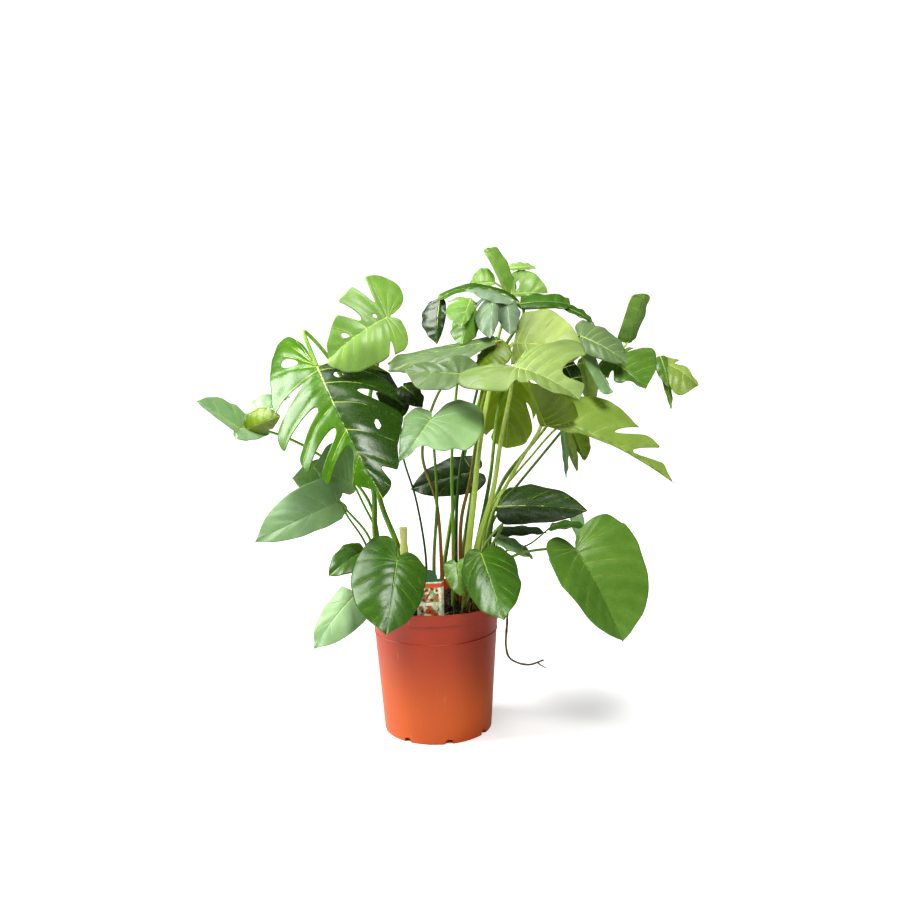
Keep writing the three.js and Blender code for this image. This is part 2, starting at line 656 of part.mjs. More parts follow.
        shape: "lance", base: [26, 88, 853], tip: [17, 69, 763], face: [-0.27, -0.86, 0.42],
        left: 16, right: 48, droop: 38, fold: [-2, -24], curl: [28, 13],
      },
      {
        shape: "strap", base: [185, 88, 837], tip: [284, 80, 833], face: [0, -0.6, 0.8],
        left: 30, right: 16, droop: 28, fold: [2, 5], curl: [17, 23],
      },
      {
        shape: "lance", base: [268, 84, 829], tip: [329, 66, 794], face: [0.29, -0.63, 0.72],
        left: 17, right: 10, droop: 42, fold: [0, 8], curl: [15, 25],
      },
    ],
    stalk: [[46, 92], [84, 110, 470], [112, 64, 640], [150, 64, 750]], radius: [4.5, 3],
  },
  {
    name: "leaf_cut_top_tall", color: "bright", cut: true,
    base: [174, 160, 856], tip: [248, 159, 857], face: [0, -0.96, 0.28],
    left: 52, right: 8, lobe: [0.03, -0.08], droop: 41, fold: [3, 5], curl: [22, 20],
    reach: [[1, 1, 0.95, 1, 1, 1], [1, 0.95, 0.7, 1, 0.5, 0.95]],
    cuts: [[[0.56, 0.05, 1, 0.15, 0.5]], []],
    straps: [
      {
        shape: "strap", base: [166, 158, 848], tip: [121, 161, 949], face: [0.3, -0.86, 0.41],
        left: 8, right: 31, droop: 43, fold: [8, -2], curl: [16, 20],
      },
      {
        shape: "lance", base: [140, 166, 880], tip: [88, 163, 879], face: [-0.11, -0.91, 0.4],
        left: 8, right: 33, droop: 32, fold: [9, 5], curl: [15, 16],
      },
      {
        shape: "lance", base: [170, 176, 909], tip: [226, 178, 908], face: [0, -0.72, 0.69],
        left: 14, right: 8, droop: 25, fold: [5, 5], curl: [18, 19],
      },
    ],
    stalk: [[10, 96], [60, 130, 500], [140, 132, 760]], radius: [4.5, 3],
  },
  {
    name: "leaf_cut_top_left", color: "mid", cut: true,
    base: [85, 20, 850], tip: [63, -36, 799], face: [-0.03, -0.87, 0.48],
    left: 15, right: 48, lobe: [-0.15, 0.03], droop: 33, fold: [-8, -3], curl: [38, 34],
    cuts: [[[0.5, 0.04, 0.4]], [[0.5, 0.04, 0.4]]],
    straps: [
      {
        shape: "lance", base: [83, 24, 837], tip: [64, -35, 765], face: [-0.18, -0.83, 0.53],
        left: 31, right: 40, droop: 8, fold: [-28, -26], curl: [47, 18],
      },
    ],
    stalk: [[36, 8], [39, 4, 400], [41, 4, 559], [62, 16, 740]], radius: [3.6, 2.4],
  },
  {
    name: "leaf_cut_top_front", color: "grey", cut: true,
    base: [130, 34, 860], tip: [117, -47, 777], face: [-0.05, -0.76, 0.64],
    left: 20, right: 44, lobe: [-0.16, -0.04], droop: 47, fold: [-13, -12], curl: [61, 51],
    cuts: [[[0.55, 0.04, 0.35]], [[0.55, 0.04, 0.4]]],
    straps: [
      {
        shape: "lance", base: [152, 34, 856], tip: [156, -24, 783], face: [0.01, -0.76, 0.65],
        left: 33, right: 28, droop: 41, fold: [-15, -20], curl: [50, 58],
      },
      {
        shape: "lance", base: [167, 26, 844], tip: [74, 20, 868], face: [-0, -0.4, 0.92],
        left: 26, right: 16, droop: 24, fold: [-2, 4], curl: [19, 6],
      },
    ],
    stalk: [[42, 28], [49, 22, 456], [63, 22, 552], [110, 34, 740]], radius: [3.6, 2.4],
  },
  // Right
  {
    name: "leaf_cut_right_long", color: "bright", cut: true,
    base: [229, -40, 624], tip: [470, -47, 488], face: [0.2, -0.48, 0.85],
    left: 98, right: 17, lobe: [0.07, 0.02], droop: 23, fold: [16, -30], curl: [14, 30],
    reach: [[0.9, 1.35, 0.75, 1.05, 0.95, 0.6], [0.95, 0.85, 1.25, 0.5, 0.3, 1]],
    cuts: [[[0.725, 0.02, 0.4], [0.84, 0.035, 0.15]], []],
    straps: [
      {
        shape: "heart", base: [221, -42, 607], tip: [187, -70, 696], face: [-0.45, -0.82, 0.35],
        left: 12, right: 69, lobe: [0, 0.05], droop: 16, fold: [-5, 16], curl: [27, 51],
      },
    ],
    stalk: [[96, -30], [112, -22, 420], [147, -16, 493], [198, -26, 578]], radius: [4.4, 3],
  },
  {
    name: "leaf_cut_right_hanging", color: "olive", shape: "lance",
    base: [264, 50, 596], tip: [293, 61, 499], face: [-0.01, -0.94, 0.34],
    left: 12, right: 8, lobe: [0.1, 0.1], droop: 27, fold: [7, 6], curl: [14, 14],
    straps: [
      {
        shape: "lance", base: [281, 54, 597], tip: [309, 74, 519], face: [-0.44, -0.86, 0.25],
        left: 32, right: 8, droop: 9, fold: [23, 2], curl: [6, 19],
      },
      {
        shape: "lance", base: [262, 46, 595], tip: [269, 51, 489], face: [0.25, -0.9, 0.37],
        left: 8, right: 8, droop: 30, fold: [-5, 12], curl: [31, 9],
      },
    ],
    stalk: [[78, 44], [112, 20, 430], [200, 12, 545], [246, 30, 590]], radius: [3, 2.2],
  },
  {
    name: "leaf_cut_right_mid", color: "grey", cut: true,
    base: [292, -10, 775], tip: [380, -19, 722], face: [0.17, -0.67, 0.72],
    left: 67, right: 30, lobe: [0.17, -0.09], droop: 26, fold: [1, -6], curl: [30, 32],
    cuts: [[[0.5, 0.03, 0.8]], []],
    straps: [
      {
        shape: "strap", base: [304, -4, 761], tip: [351, -21, 665], face: [0.18, -0.84, 0.51],
        left: 8, right: 21, droop: -13, fold: [-20, 9], curl: [50, 15],
      },
      {
        shape: "lance", base: [303, 52, 729], tip: [322, 76, 634], face: [-0.04, -0.95, 0.31],
        left: 26, right: 16, droop: 48, fold: [33, 11], curl: [-13, 10],
      },
    ],
    stalk: [[98, 4], [134, 34, 474], [204, 72, 560], [266, 66, 680], [286, 14, 752]], radius: [4.2, 2.8],
  },
  {
    name: "leaf_cut_right_upper", color: "mid", cut: true,
    base: [359, 30, 721], tip: [422, 0, 667], face: [0.21, -0.74, 0.63],
    left: 102, right: 40, lobe: [0.03, 0.22], droop: 25, fold: [5, 9], curl: [22, 36],
    reach: [[1, 1, 0.5, 1.05, 0.95, 0.75], [1, 0.9, 0.9, 1, 0.5, 0.75]],
    cuts: [[[0.5, 0.03, 0.5]], [[0.55, 0.035, 0.5]]],
    straps: [
      {
        shape: "strap", base: [393, 52, 756], tip: [419, 11, 852], face: [0.41, -0.89, 0.2],
        left: 26, right: 18, droop: 18, fold: [-2, -4], curl: [28, 20],
      },
    ],
    stalk: [[80, 84], [104, 106, 380], [170, 110, 460], [262, 104, 570], [350, 84, 680]], radius: [3.4, 2.4],
  },
  {
    name: "leaf_cut_right_far", color: "bright", cut: true,
    base: [469, 76, 715], tip: [536, 53, 667], face: [0.3, -0.81, 0.5],
    left: 23, right: 63, lobe: [0.12, -0.08], droop: 28, fold: [11, 2], curl: [27, 38],
    reach: [[1, 1.1, 0.8, 1.05, 0.7, 0.9], [1, 0.8, 0.3, 0.65, 1.1, 0.85]],
    cuts: [[[0.6, 0.05, 0.4]], [[0.6, 0.05, 0.4]]],
    straps: [
      {
        shape: "lance", base: [464, 74, 703], tip: [482, 60, 621], face: [0.25, -0.89, 0.37],
        left: 9, right: 8, droop: 36, fold: [4, 8], curl: [17, 13],
      },
      {
        shape: "lance", base: [462, 70, 727], tip: [474, 50, 667], face: [0.3, -0.86, 0.42],
        left: 34, right: 17, droop: 18, fold: [-6, -1], curl: [39, 25],
      },
    ],
    stalk: [[88, 70], [124, 84, 440], [220, 92, 570], [320, 106, 676], [420, 100, 735]], radius: [3.6, 2.4],
  },
];

const plant = new THREE.Group();

function leafMaterial(name) {
  const color = greens[name];
  return new THREE.MeshStandardMaterial({ color, roughness: 0.4, metalness: 0, side: THREE.DoubleSide });
}

// The stalk leaves the soil at its foot and ends under the blade, a little way along the midrib.
function stalkPoints(leaf) {
  const [footX, footY] = leaf.stalk[0];
  const foot = [footX, footY, soilTop - holeDepth + 0.3];
  const surface = bladeSurface(leaf);
  const inside = surface(1, 0.62, 0);
  return [foot, [footX, footY, soilTop + 8], ...leaf.stalk.slice(1), leaf.base, inside.toArray()];
}

// The rib that carries an extra lobe, from the nearest place on the blade's midrib to the lobe's base.
function ribSolid(leaf, lobe) {
  const main = bladeSurface(leaf);
  const start = bladeSurface(lobe)(1, 0, 0);
  let near = main(1, 0, 0);
  for (let i = 1; i <= 10; i++) {
    const p = main(1, i / 10, 0);
    if (p.distanceTo(start) < near.distanceTo(start)) near = p;
  }
  const path = new THREE.Vector3().subVectors(start, near).setLength(3);
  return solid(stalkGeometry([near.sub(path).toArray(), start.add(path).toArray()], 1.6, 1.4, 1, 3));
}

const soilHoles = [];
for (const leaf of leaves) {
  const [footRadius, topRadius] = leaf.radius;
  const points = stalkPoints(leaf);
  const steps = clamp(Math.round((points.at(-1)[2] - soilTop) / stalkStep) + 1, 3, 8);
  const stalk = solid(stalkGeometry(points, footRadius, topRadius, steps));
  let body = bladeSolid(leaf).add(stalk);
  for (const lobe of leaf.straps ?? []) body = body.add(bladeSolid(lobe)).add(ribSolid(leaf, lobe));
  body = largestPart(body);
  const mesh = new THREE.Mesh(geometryOf(body), leafMaterial(leaf.color));
  mesh.name = leaf.name;
  plant.add(mesh);
  soilHoles.push([...leaf.stalk[0], footRadius]);
}

// A closed shell turned round the upright axis, from a profile of [radius, height] that ends on the axis.
function turned(profile, segments) {
  const outline = profile.map(([r, z]) => new THREE.Vector2(r, z));
  return new THREE.LatheGeometry(outline, segments).rotateX(Math.PI / 2);
}

// The pot: a tapering wall with a thin ridge, a stepped rim band, a flat underside and drainage notches.
const bandFoot = potHeight - rimBandHeight;
const wallRadius = (z) => THREE.MathUtils.lerp(potBaseRadius, ridgeRadius, z / ridgeHeight);
const bandRadius = potRimRadius - rimBandStep;
const shoulderRadius = bandRadius - 4;
const potProfile = [
  [0, 0],
  [potBaseRadius - 1.5, 0],
  [potBaseRadius, 1.5],
  [wallRadius(ridgeHeight - 2), ridgeHeight - 2],
  [ridgeRadius + 1.2, ridgeHeight],
  [wallRadius(ridgeHeight + 2), ridgeHeight + 2],
  [shoulderRadius, bandFoot],
  [bandRadius, bandFoot],
  [potRimRadius, potHeight - 2],
  [potRimRadius - 0.8, potHeight],
  [potRimRadius - potWall, potHeight],
  [bandRadius - potWall, bandFoot + 2],
  [shoulderRadius - potWall, bandFoot - 2],
  [wallRadius(ridgeHeight) - potWall, ridgeHeight],
  [wallRadius(potFloor) - potWall, potFloor],
  [0, potFloor],
];

function potSolid() {
  let pot = solid(turned(potProfile, potSegments));
  for (let i = 0; i < drainHoleCount; i++) {
    const angle = radians(drainHoleStart + (360 * i) / drainHoleCount);
    const notch = new THREE.BoxGeometry(20, drainHoleWidth, 2 * drainHoleHeight);
    notch.translate(potBaseRadius + 2, 0, 0).rotateZ(angle);
    pot = pot.subtract(solid(notch));
  }
  return pot;
}

// The soil fills the pot up to its rough top, and every stalk stands in a hole of its own.
function roughness(x, y) {
  return Math.sin(x * 0.11 + 1) * Math.cos(y * 0.13) + 0.5 * Math.sin(x * 0.23 - y * 0.19 + 2);
}

function soilSolid(holes) {
  const inner = (r) => r - potWall - soilClearance;
  const profile = [
    [0, potFloor + soilClearance],
    [inner(wallRadius(potFloor)) - 8, potFloor + soilClearance],
    [inner(wallRadius(drainHoleHeight + 8)), drainHoleHeight + 8],
    [inner(wallRadius(ridgeHeight)), ridgeHeight],
    [inner(shoulderRadius), bandFoot - 2],
    [inner(shoulderRadius) + 0.5, soilTop - 3],
    [inner(shoulderRadius) - 18, soilTop],
    [inner(shoulderRadius) - 48, soilTop],
    [inner(shoulderRadius) - 84, soilTop],
    [0, soilTop],
  ];
  const geometry = turned(profile, potSegments);
  const position = geometry.attributes.position;
  for (let i = 0; i < position.count; i++) {
    if (position.getZ(i) < soilTop - 1) continue;
    const rise = soilRoughness * roughness(position.getX(i), position.getY(i));
    position.setZ(i, position.getZ(i) + rise);
  }
  let soil = solid(geometry);
  for (const [x, y, radius] of holes) {
    const hole = new THREE.CylinderGeometry(1, 1, 2 * holeDepth, holeSides);
    const round = (radius + holeClearance) / Math.cos(Math.PI / holeSides);
    hole.rotateX(Math.PI / 2).scale(round, round, 1).translate(x, y, soilTop);
    soil = soil.subtract(solid(hole));
  }
  return soil;
}

// A folded plant label: a wide front panel with a rounded head and a narrow side panel.
function labelSolid(grow) {
  const front = new THREE.Shape();
  front.moveTo(-labelWidth, labelFoot);
  front.lineTo(0, labelFoot);
  front.lineTo(0, labelShoulder);
  for (let i = 0; i <= 6; i++) {
    const angle = (Math.PI * i) / 6;
    const x = -labelWidth / 2 + (labelHead / 2) * Math.cos(angle);
    front.lineTo(x, labelShoulder + labelHeadRise * Math.sin(angle));
  }
  front.lineTo(-labelWidth, labelShoulder);
  front.closePath();
  const depth = labelThickness + 2 * grow;
  const height = labelShoulder - labelFoot;
  const middle = (labelShoulder + labelFoot) / 2;
  const panel = new THREE.ExtrudeGeometry(front, { depth, bevelEnabled: false });
  panel.translate(0, 0, -depth / 2).rotateX(Math.PI / 2);
  const side = new THREE.BoxGeometry(labelSide + grow, depth, height);
  side.translate((labelSide + grow) / 2 - 0.3, 0, middle).rotateZ(radians(labelFold));
  const end = new THREE.BoxGeometry(2 * grow + 0.2, depth, height);
  end.translate(-labelWidth - grow + 0.1, 0, middle);
  let card = solid(panel).add(solid(side));
  if (grow > 0) card = card.add(solid(end));
  return card.rotate([0, 0, labelTurn]).translate(labelPlace);
}

function addPiece(name, body, color, roughnessValue) {
  const material = new THREE.MeshStandardMaterial({ color, roughness: roughnessValue, metalness: 0 });
  const mesh = new THREE.Mesh(geometryOf(body), material);
  mesh.name = name;
  plant.add(mesh);
}

// A cut petiole stub, and a brown aerial root that climbs over the rim and hangs down outside the pot.
const stub = solid(stalkGeometry(stubPath, stubRadius, stubRadius - 1.2, 3, 8));
const rootMain = solid(stalkGeometry(rootPath, rootRadius, rootRadius - 0.5, 14));
const rootFork = solid(stalkGeometry(rootForkPath, rootRadius - 0.6, rootRadius - 0.9, 2, 4));
addPiece("stem_cut_stub", stub, 0x8fae4e, 0.6);
addPiece("root_aerial", rootMain.add(rootFork), 0x6b4a2c, 0.8);
soilHoles.push([...stubPath[0].slice(0, 2), stubRadius], [...rootPath[0].slice(0, 2), rootRadius]);

addPiece("pot", potSolid(), 0xc0562f, 0.35);
addPiece("soil", soilSolid(soilHoles).subtract(labelSolid(soilClearance)), 0x1c1712, 1);
addPiece("plant_label", labelSolid(0), 0xe8e4d4, 0.5);

export default plant;
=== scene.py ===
# A swiss cheese plant in its nursery pot: looks, floor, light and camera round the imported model.
import functools
import json
import math

import bmesh
import bpy
import numpy as np
from mathutils import Matrix, Vector, noise


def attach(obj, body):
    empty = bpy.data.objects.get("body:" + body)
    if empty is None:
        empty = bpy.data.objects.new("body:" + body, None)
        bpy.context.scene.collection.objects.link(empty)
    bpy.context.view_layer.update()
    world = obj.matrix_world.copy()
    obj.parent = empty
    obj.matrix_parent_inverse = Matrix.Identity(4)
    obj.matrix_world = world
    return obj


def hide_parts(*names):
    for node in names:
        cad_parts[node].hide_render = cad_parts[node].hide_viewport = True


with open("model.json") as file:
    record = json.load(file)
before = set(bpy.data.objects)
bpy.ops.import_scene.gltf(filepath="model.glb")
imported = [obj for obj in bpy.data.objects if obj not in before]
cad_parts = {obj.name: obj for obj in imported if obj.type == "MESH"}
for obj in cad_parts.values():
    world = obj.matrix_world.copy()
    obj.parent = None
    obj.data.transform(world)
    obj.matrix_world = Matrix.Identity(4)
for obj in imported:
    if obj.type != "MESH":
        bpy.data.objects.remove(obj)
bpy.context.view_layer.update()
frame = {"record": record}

mm = 0.001
scene = bpy.context.scene


# A blade or a further lobe of one, in millimetres and degrees: outline, look, base, tip and the way the upper
# side faces, then the widths of the left and right half, how far their lobes reach back past the base, the
# droop along the midrib, and the fold up from it and the curl down at the edge of each half.
# "reach" stretches the margin of each half. "cuts" has the place of each cut round the margin, half its width
# and where it starts; a hole has 1 there, then where it starts and ends. "stalk" is the way up from the soil,
# "radius" that of its foot and top, and "straps" are further lobes on the same stalk.
def bladeRow(shape, look, base, tip, face, widths, back, droop, fold, curl, **more):
    row = {"shape": shape, "look": look, "base": base, "tip": tip, "face": face, "widths": widths}
    row |= {"back": back, "droop": droop, "fold": fold, "curl": curl}
    row |= {"reach": ((1, 1), (1, 1)), "cuts": ((), ())}
    return row | more


leaves = {
    "leaf_cut_left_front": bladeRow(
        "cut", "bright", (-208, -70, 735), (-87, -234, 514), (-0.26, -0.85, 0.46),
        (176, 164), (-0.1, 0.6), 39, (-15, 7), (69, 42),
        reach=((1, 0.9, 0.9, 0.9, 0.75, 1.1), (1.1, 0.9, 0.65, 0.8, 0.8, 0.65)),
        cuts=(
            ((0.55, 0.02, 1, 0.14, 0.24), (0.645, 0.03, 0.36), (0.76, 0.02, 1, 0.56, 0.66),
             (0.91, 0.02, 0.6)),
            ((0.34, 0.04, 1, 0.35, 0.74), (0.52, 0.04, 0.3), (0.665, 0.03, 0.25), (0.765, 0.022, 0.18),
             (0.855, 0.035, 0.12)),
        ),
        stalk=((-96, -5), (-115, 5, 388), (-116, 10, 486), (-165, 0, 700), (-232, -45, 798)), radius=(6, 3.2),
    ),
    "leaf_cut_left_upper": bladeRow(
        "cut", "light", (-72, -80, 822), (-186, -104, 744), (-0.25, -0.86, 0.44),
        (59, 95), (0.12, 0.36), 49, (2, 19), (54, 6),
        reach=((1, 1.1, 1.25, 1.25, 1.3, 1.15), (1.1, 1, 1, 0.8, 0.65, 0.7)),
        cuts=(
            ((0.5, 0.03, 0.6),),
            ((0.47, 0.03, 0.4), (0.57, 0.02, 1, 0.1, 0.22), (0.67, 0.035, 0.3), (0.81, 0.03, 1, 0.16, 0.52)),
        ),
        stalk=((-66, -15), (-67, -22, 360), (-102, -10, 466), (-120, 10, 640), (-80, -20, 790)),
        radius=(6, 3),
    ),
    "leaf_cut_left_far": bladeRow(
        "heart", "soft", (-361, -20, 610), (-437, -70, 675), (-0.11, -0.78, 0.62),
        (11, 46), (-0.09, 0.02), 23, (1, -2), (25, 31),
        stalk=((-104, 22), (-130, 40, 459), (-235, 36, 560), (-330, 8, 608)), radius=(3.6, 2.4),
        straps=(
            bladeRow(
                "lance", "olive", (-359, -20, 610), (-281, -71, 643), (0.07, -0.96, 0.27),
                (35, 24), (0, 0), 21, (-10, -25), (25, 48),
            ),
            bladeRow(
                "lance", "soft", (-355, -14, 623), (-270, 2, 671), (-0.19, -0.63, 0.75),
                (40, 8), (0, 0), 35, (-6, 16), (-6, 2),
            ),
            bladeRow(
                "heart", "soft", (-365, -24, 615), (-308, -26, 604), (0.03, -0.72, 0.7),
                (8, 25), (0.01, 0.18), 22, (-14, 5), (43, 20),
            ),
        ),
    ),
    "leaf_heart_left": bladeRow(
        "heart", "soft", (-182, -60, 474), (-328, -144, 419), (-0.13, -0.96, 0.26),
        (36, 57), (0.08, 0.12), 22, (2, 12), (48, 32),
        stalk=((-104, -48), (-129, -55, 385), (-160, -58, 440)), radius=(2.6, 2),
    ),
    "leaf_heart_left_back": bladeRow(
        "heart", "soft", (-201, 10, 485), (-266, -56, 522), (-0.39, -0.85, 0.35),
        (24, 55), (0.06, 0.08), 18, (-4, 4), (53, 40),
        stalk=((-110, -18), (-125, -10, 388), (-170, 6, 445)), radius=(3, 2.2),
    ),
    "leaf_heart_left_inner": bladeRow(
        "heart", "soft", (-158, 15, 497), (-224, -47, 539), (-0.09, -0.86, 0.5),
        (26, 81), (0.1, 0.16), 0, (4, -1), (23, 9),
        stalk=((-92, 26), (-112, 26, 390), (-136, 20, 450)), radius=(3, 2.2),
    ),
    "leaf_heart_left_low": bladeRow(
        "heart", "soft", (-151, -100, 303), (-228, -143, 212), (-0.31, -0.82, 0.48),
        (48, 35), (0.02, 0.01), 28, (-1, 5), (32, 26),
        stalk=((-82, -76), (-92, -84, 300), (-125, -96, 330)), radius=(2.6, 2),
    ),
    "leaf_heart_left_small": bladeRow(
        "heart", "deep", (-135, -70, 377), (-199, -100, 338), (-0.2, -0.75, 0.65),
        (32, 34), (0.06, 0.1), 50, (10, 10), (25, 35),
        stalk=((-92, -66), (-104, -70, 330), (-120, -70, 372)), radius=(2.4, 1.8),
    ),
    "leaf_heart_front_left": bladeRow(
        "heart", "deep", (-67, -150, 379), (-88, -236, 264), (0.06, -0.88, 0.48),
        (64, 84), (0.15, 0.35), 17, (-4, 3), (41, 42),
        stalk=((-42, -84), (-46, -96, 330), (-56, -130, 378)), radius=(3.4, 2.2),
    ),
    "leaf_heart_front_right": bladeRow(
        "heart", "deep", (88, -140, 386), (121, -270, 296), (-0.1, -0.88, 0.47),
        (65, 59), (0.11, 0.17), 25, (-10, -16), (43, 43),
        stalk=((50, -94), (84, -113, 345), (130, -112, 432), (112, -130, 420)), radius=(3.4, 2.2),
    ),
    "leaf_heart_small": bladeRow(
        "heart", "mid", (44, -86, 352), (49, -118, 298), (-0.05, -0.85, 0.5),
        (26, 26), (0.15, 0.15), 15, (10, 10), (20, 20),
        stalk=((36, -78), (38, -76, 300), (42, -80, 345)), radius=(2, 1.6),
    ),
    "leaf_heart_right": bladeRow(
        "heart", "mid", (270, -90, 376), (351, -129, 207), (0.17, -0.83, 0.53),
        (123, 79), (0.14, 0.14), 25, (10, 27), (29, 12),
        reach=((0.65, 1.35, 1, 1, 1.1, 1.2), (1, 1.25, 1, 0.95, 1, 1.05)),
        stalk=((96, -54), (112, -64, 330), (160, -78, 366), (235, -88, 378)), radius=(3, 2.4),
    ),
    "leaf_heart_right_dark": bladeRow(
        "heart", "dark", (123, -70, 458), (284, -162, 464), (-0.1, -0.85, 0.51),
        (54, 40), (-0.02, 0.02), 38, (-4, -17), (38, 65),
        stalk=((88, -66), (96, -70, 350), (110, -72, 425)), radius=(3.4, 2.2),
    ),
    "leaf_heart_centre": bladeRow(
        "heart", "grey", (2, -110, 634), (-57, -173, 564), (0.35, -0.71, 0.61),
        (69, 46), (1, 0.14), 32, (26, 7), (12, 48),
        reach=((1.15, 0.95, 1.45, 1, 0.35, 0.65), (1, 1.1, 1, 0.85, 0.8, 1)),
        stalk=((0, -34), (0, -30, 348), (9, -30, 467), (6, -36, 565)), radius=(3.6, 2.4),
    ),
    "leaf_heart_behind": bladeRow(
        "heart", "dark", (84, 54, 505), (-44, 70, 470), (0, -0.8, 0.55),
        (42, 42), (0.15, 0.15), 30, (8, 8), (25, 25),
        stalk=((60, 42), (68, 48, 400), (84, 52, 470)), radius=(3, 2.2),
    ),
    "leaf_heart_edge_dark": bladeRow(
        "heart", "dark", (134, 36, 386), (226, 20, 383), (0, -0.08, 1),
        (38, 34), (0.15, 0.15), 30, (3, 0), (15, 12),
        stalk=((104, 32), (120, 34, 350)), radius=(2.2, 1.6),
    ),
    "leaf_heart_edge_pale": bladeRow(
        "heart", "soft", (130, -26, 384), (192, -50, 349), (0.25, -0.3, 0.9),
        (24, 24), (0.12, 0.12), 25, (5, 5), (15, 15),
        stalk=((110, -22), (118, -26, 350)), radius=(2, 1.5),
    ),
    "leaf_heart_edge_small": bladeRow(
        "heart", "mid", (149, 84, 404), (180, 66, 398), (0, -0.45, 0.9),
        (16, 16), (0.12, 0.12), 40, (5, 5), (20, 20),
        stalk=((100, 50), (126, 74, 360)), radius=(1.8, 1.4),
    ),
    "leaf_heart_right_pale": bladeRow(
        "heart", "soft", (272, 70, 426), (293, 50, 347), (0.6, -0.6, 0.3),
        (26, 26), (0.15, 0.15), 15, (40, 40), (15, 15),
        stalk=((90, 15), (101, 18, 360), (142, 58, 430), (222, 70, 452)), radius=(3.4, 1.8),
    ),
    "leaf_heart_right_edge": bladeRow(
        "heart", "deep", (236, 0, 402), (302, -16, 400), (0, -0.15, 1),
        (24, 22), (0.12, 0.12), 45, (3, 0), (15, 12),
        stalk=((110, 20), (124, 12, 340), (190, 4, 366)), radius=(2, 1.5),
    ),
    "leaf_withered": bladeRow(
        "lance", "withered", (74, -83, 277), (113, -92, 243), (0.62, -0.1, 0.78),
        (9, 9), (0, 0), 140, (10, 10), (10, 10),
        stalk=((66, -74), (68, -78, 268)), radius=(1.8, 1.4),
    ),
    "leaf_cut_centre_grey": bladeRow(
        "cut", "sage", (131, -25, 770), (-78, -54, 734), (0, -0.43, 0.9),
        (26, 44), (-0.08, 0.02), 8, (7, 8), (38, 66),
        reach=((0.95, 1, 0.3, 1.75, 1.65, 0.95), (1, 1, 0.65, 1.25, 1.1, 1)),
        stalk=((52, 12), (56, 4, 419), (75, 0, 499), (100, 4, 640)), radius=(4, 2.6), stalkLook="rust",
        straps=(
            bladeRow(
                "lance", "olive", (143, -14, 771), (94, -33, 722), (-0.14, -0.78, 0.62),
                (38, 40), (0, 0), 15, (-2, -16), (15, 43),
            ),
        ),
    ),
    "leaf_cut_centre_low": bladeRow(
        "cut", "sage", (61, -100, 715), (-43, -122, 723), (0.01, -0.7, 0.71),
        (53, 38), (-0.07, 0.31), 10, (5, 13), (27, 13),
        reach=((0.95, 0.75, 0.3, 0.75, 1.1, 0.95), (0.95, 1.05, 1.15, 0.55, 0.85, 1.1)),
        cuts=((), ((0.62, 0.03, 0.5),)),
        stalk=((16, -10), (8, -18, 459), (-17, -20, 557), (20, -40, 680)),
        radius=(3.6, 2.4), stalkLook="rust",
    ),
    "leaf_heart_centre_curl": bladeRow(
        "heart", "dark", (-47, -60, 690), (-14, -75, 652), (0.1, -0.75, 0.6),
        (24, 24), (0.15, 0.15), 50, (8, 8), (50, 50),
        stalk=((-18, -12), (-16, -12, 348), (-32, 0, 462), (-56, -8, 560)), radius=(2.4, 1.8),
        straps=(
            bladeRow(
                "lance", "dark", (-37, -26, 672), (-102, -33, 678), (0, -0.86, 0.51),
                (50, 13), (0, 0), 14, (5, 3), (16, 15),
            ),
        ),
    ),
    "leaf_cut_centre_right": bladeRow(
        "cut", "pale", (155, -142, 729), (266, -189, 673), (0.1, -0.53, 0.84),
        (131, 49), (0.04, 0.75), 33, (9, 11), (25, 38),
        reach=((1, 0.85, 0.45, 1.25, 1.05, 1.05), (1.1, 0.65, 1.5, 0.65, 0.8, 0.95)),
        cuts=(((0.81, 0.09, 0.36),), ((0.5, 0.04, 0.7), (0.64, 0.03, 0.75))),
        stalk=((78, -34), (84, -30, 365), (118, -32, 483), (134, -44, 581), (152, -84, 680)), radius=(6, 3.2),
    ),
    "leaf_cut_centre_pale": bladeRow(
        "cut", "cream", (165, 0, 764), (296, -36, 746), (-0.12, -0.89, 0.44),
        (94, 40), (0, -0.02), 37, (1, 12), (29, 43),
        reach=((1, 1, 0.75, 0.9, 0.85, 0.9), (1, 0.95, 1.15, 0.75, 1.15, 1.05)),
        stalk=((60, -34), (66, -40, 358), (80, -40, 467), (96, -30, 583), (124, -16, 700)), radius=(7.5, 3.2),
        straps=(
            # A lobe painted dark as shade, where a gap between the blades lies in shadow.
            bladeRow(
                "lance", "dark", (257, -8, 728), (291, -5, 665), (0.06, -0.91, 0.4),
                (21, 11), (0, 0), 12, (7, 5), (9, 17),
            ),
        ),
    ),
    "leaf_cut_centre_back": bladeRow(
        "cut", "olive", (167, 90, 701), (159, 204, 530), (0.12, 0.83, 0.55),
        (80, 87), (0, 0.01), 11, (-20, -20), (41, 62),
        cuts=(((0.8, 0.02, 0.7),), ((0.62, 0.045, 0.5),)),
        stalk=((62, 58), (114, 50, 480), (140, 80, 640)), radius=(4.5, 3),
    ),
    "leaf_cut_top_arch": bladeRow(
        "strap", "deep", (191, 92, 827), (20, 80, 849), (-0.04, -0.24, 0.97),
        (18, 13), (0, 0), 86, (3, 13), (17, -3),
        stalk=((46, 92), (84, 110, 470), (112, 64, 640), (150, 64, 750)), radius=(4.5, 3),
        straps=(
            bladeRow(
                "lance", "dark", (26, 88, 853), (17, 69, 763), (-0.27, -0.86, 0.42),
                (16, 48), (0, 0), 38, (-2, -24), (28, 13),
            ),
            bladeRow(
                "strap", "deep", (185, 88, 837), (284, 80, 833), (0, -0.6, 0.8),
                (30, 16), (0, 0), 28, (2, 5), (17, 23),
            ),
            bladeRow(
                "lance", "deep", (268, 84, 829), (329, 66, 794), (0.29, -0.63, 0.72),
                (17, 10), (0, 0), 42, (0, 8), (15, 25),
            ),
        ),
    ),
    "leaf_cut_top_tall": bladeRow(
        "cut", "light", (174, 160, 856), (248, 159, 857), (0, -0.96, 0.28),
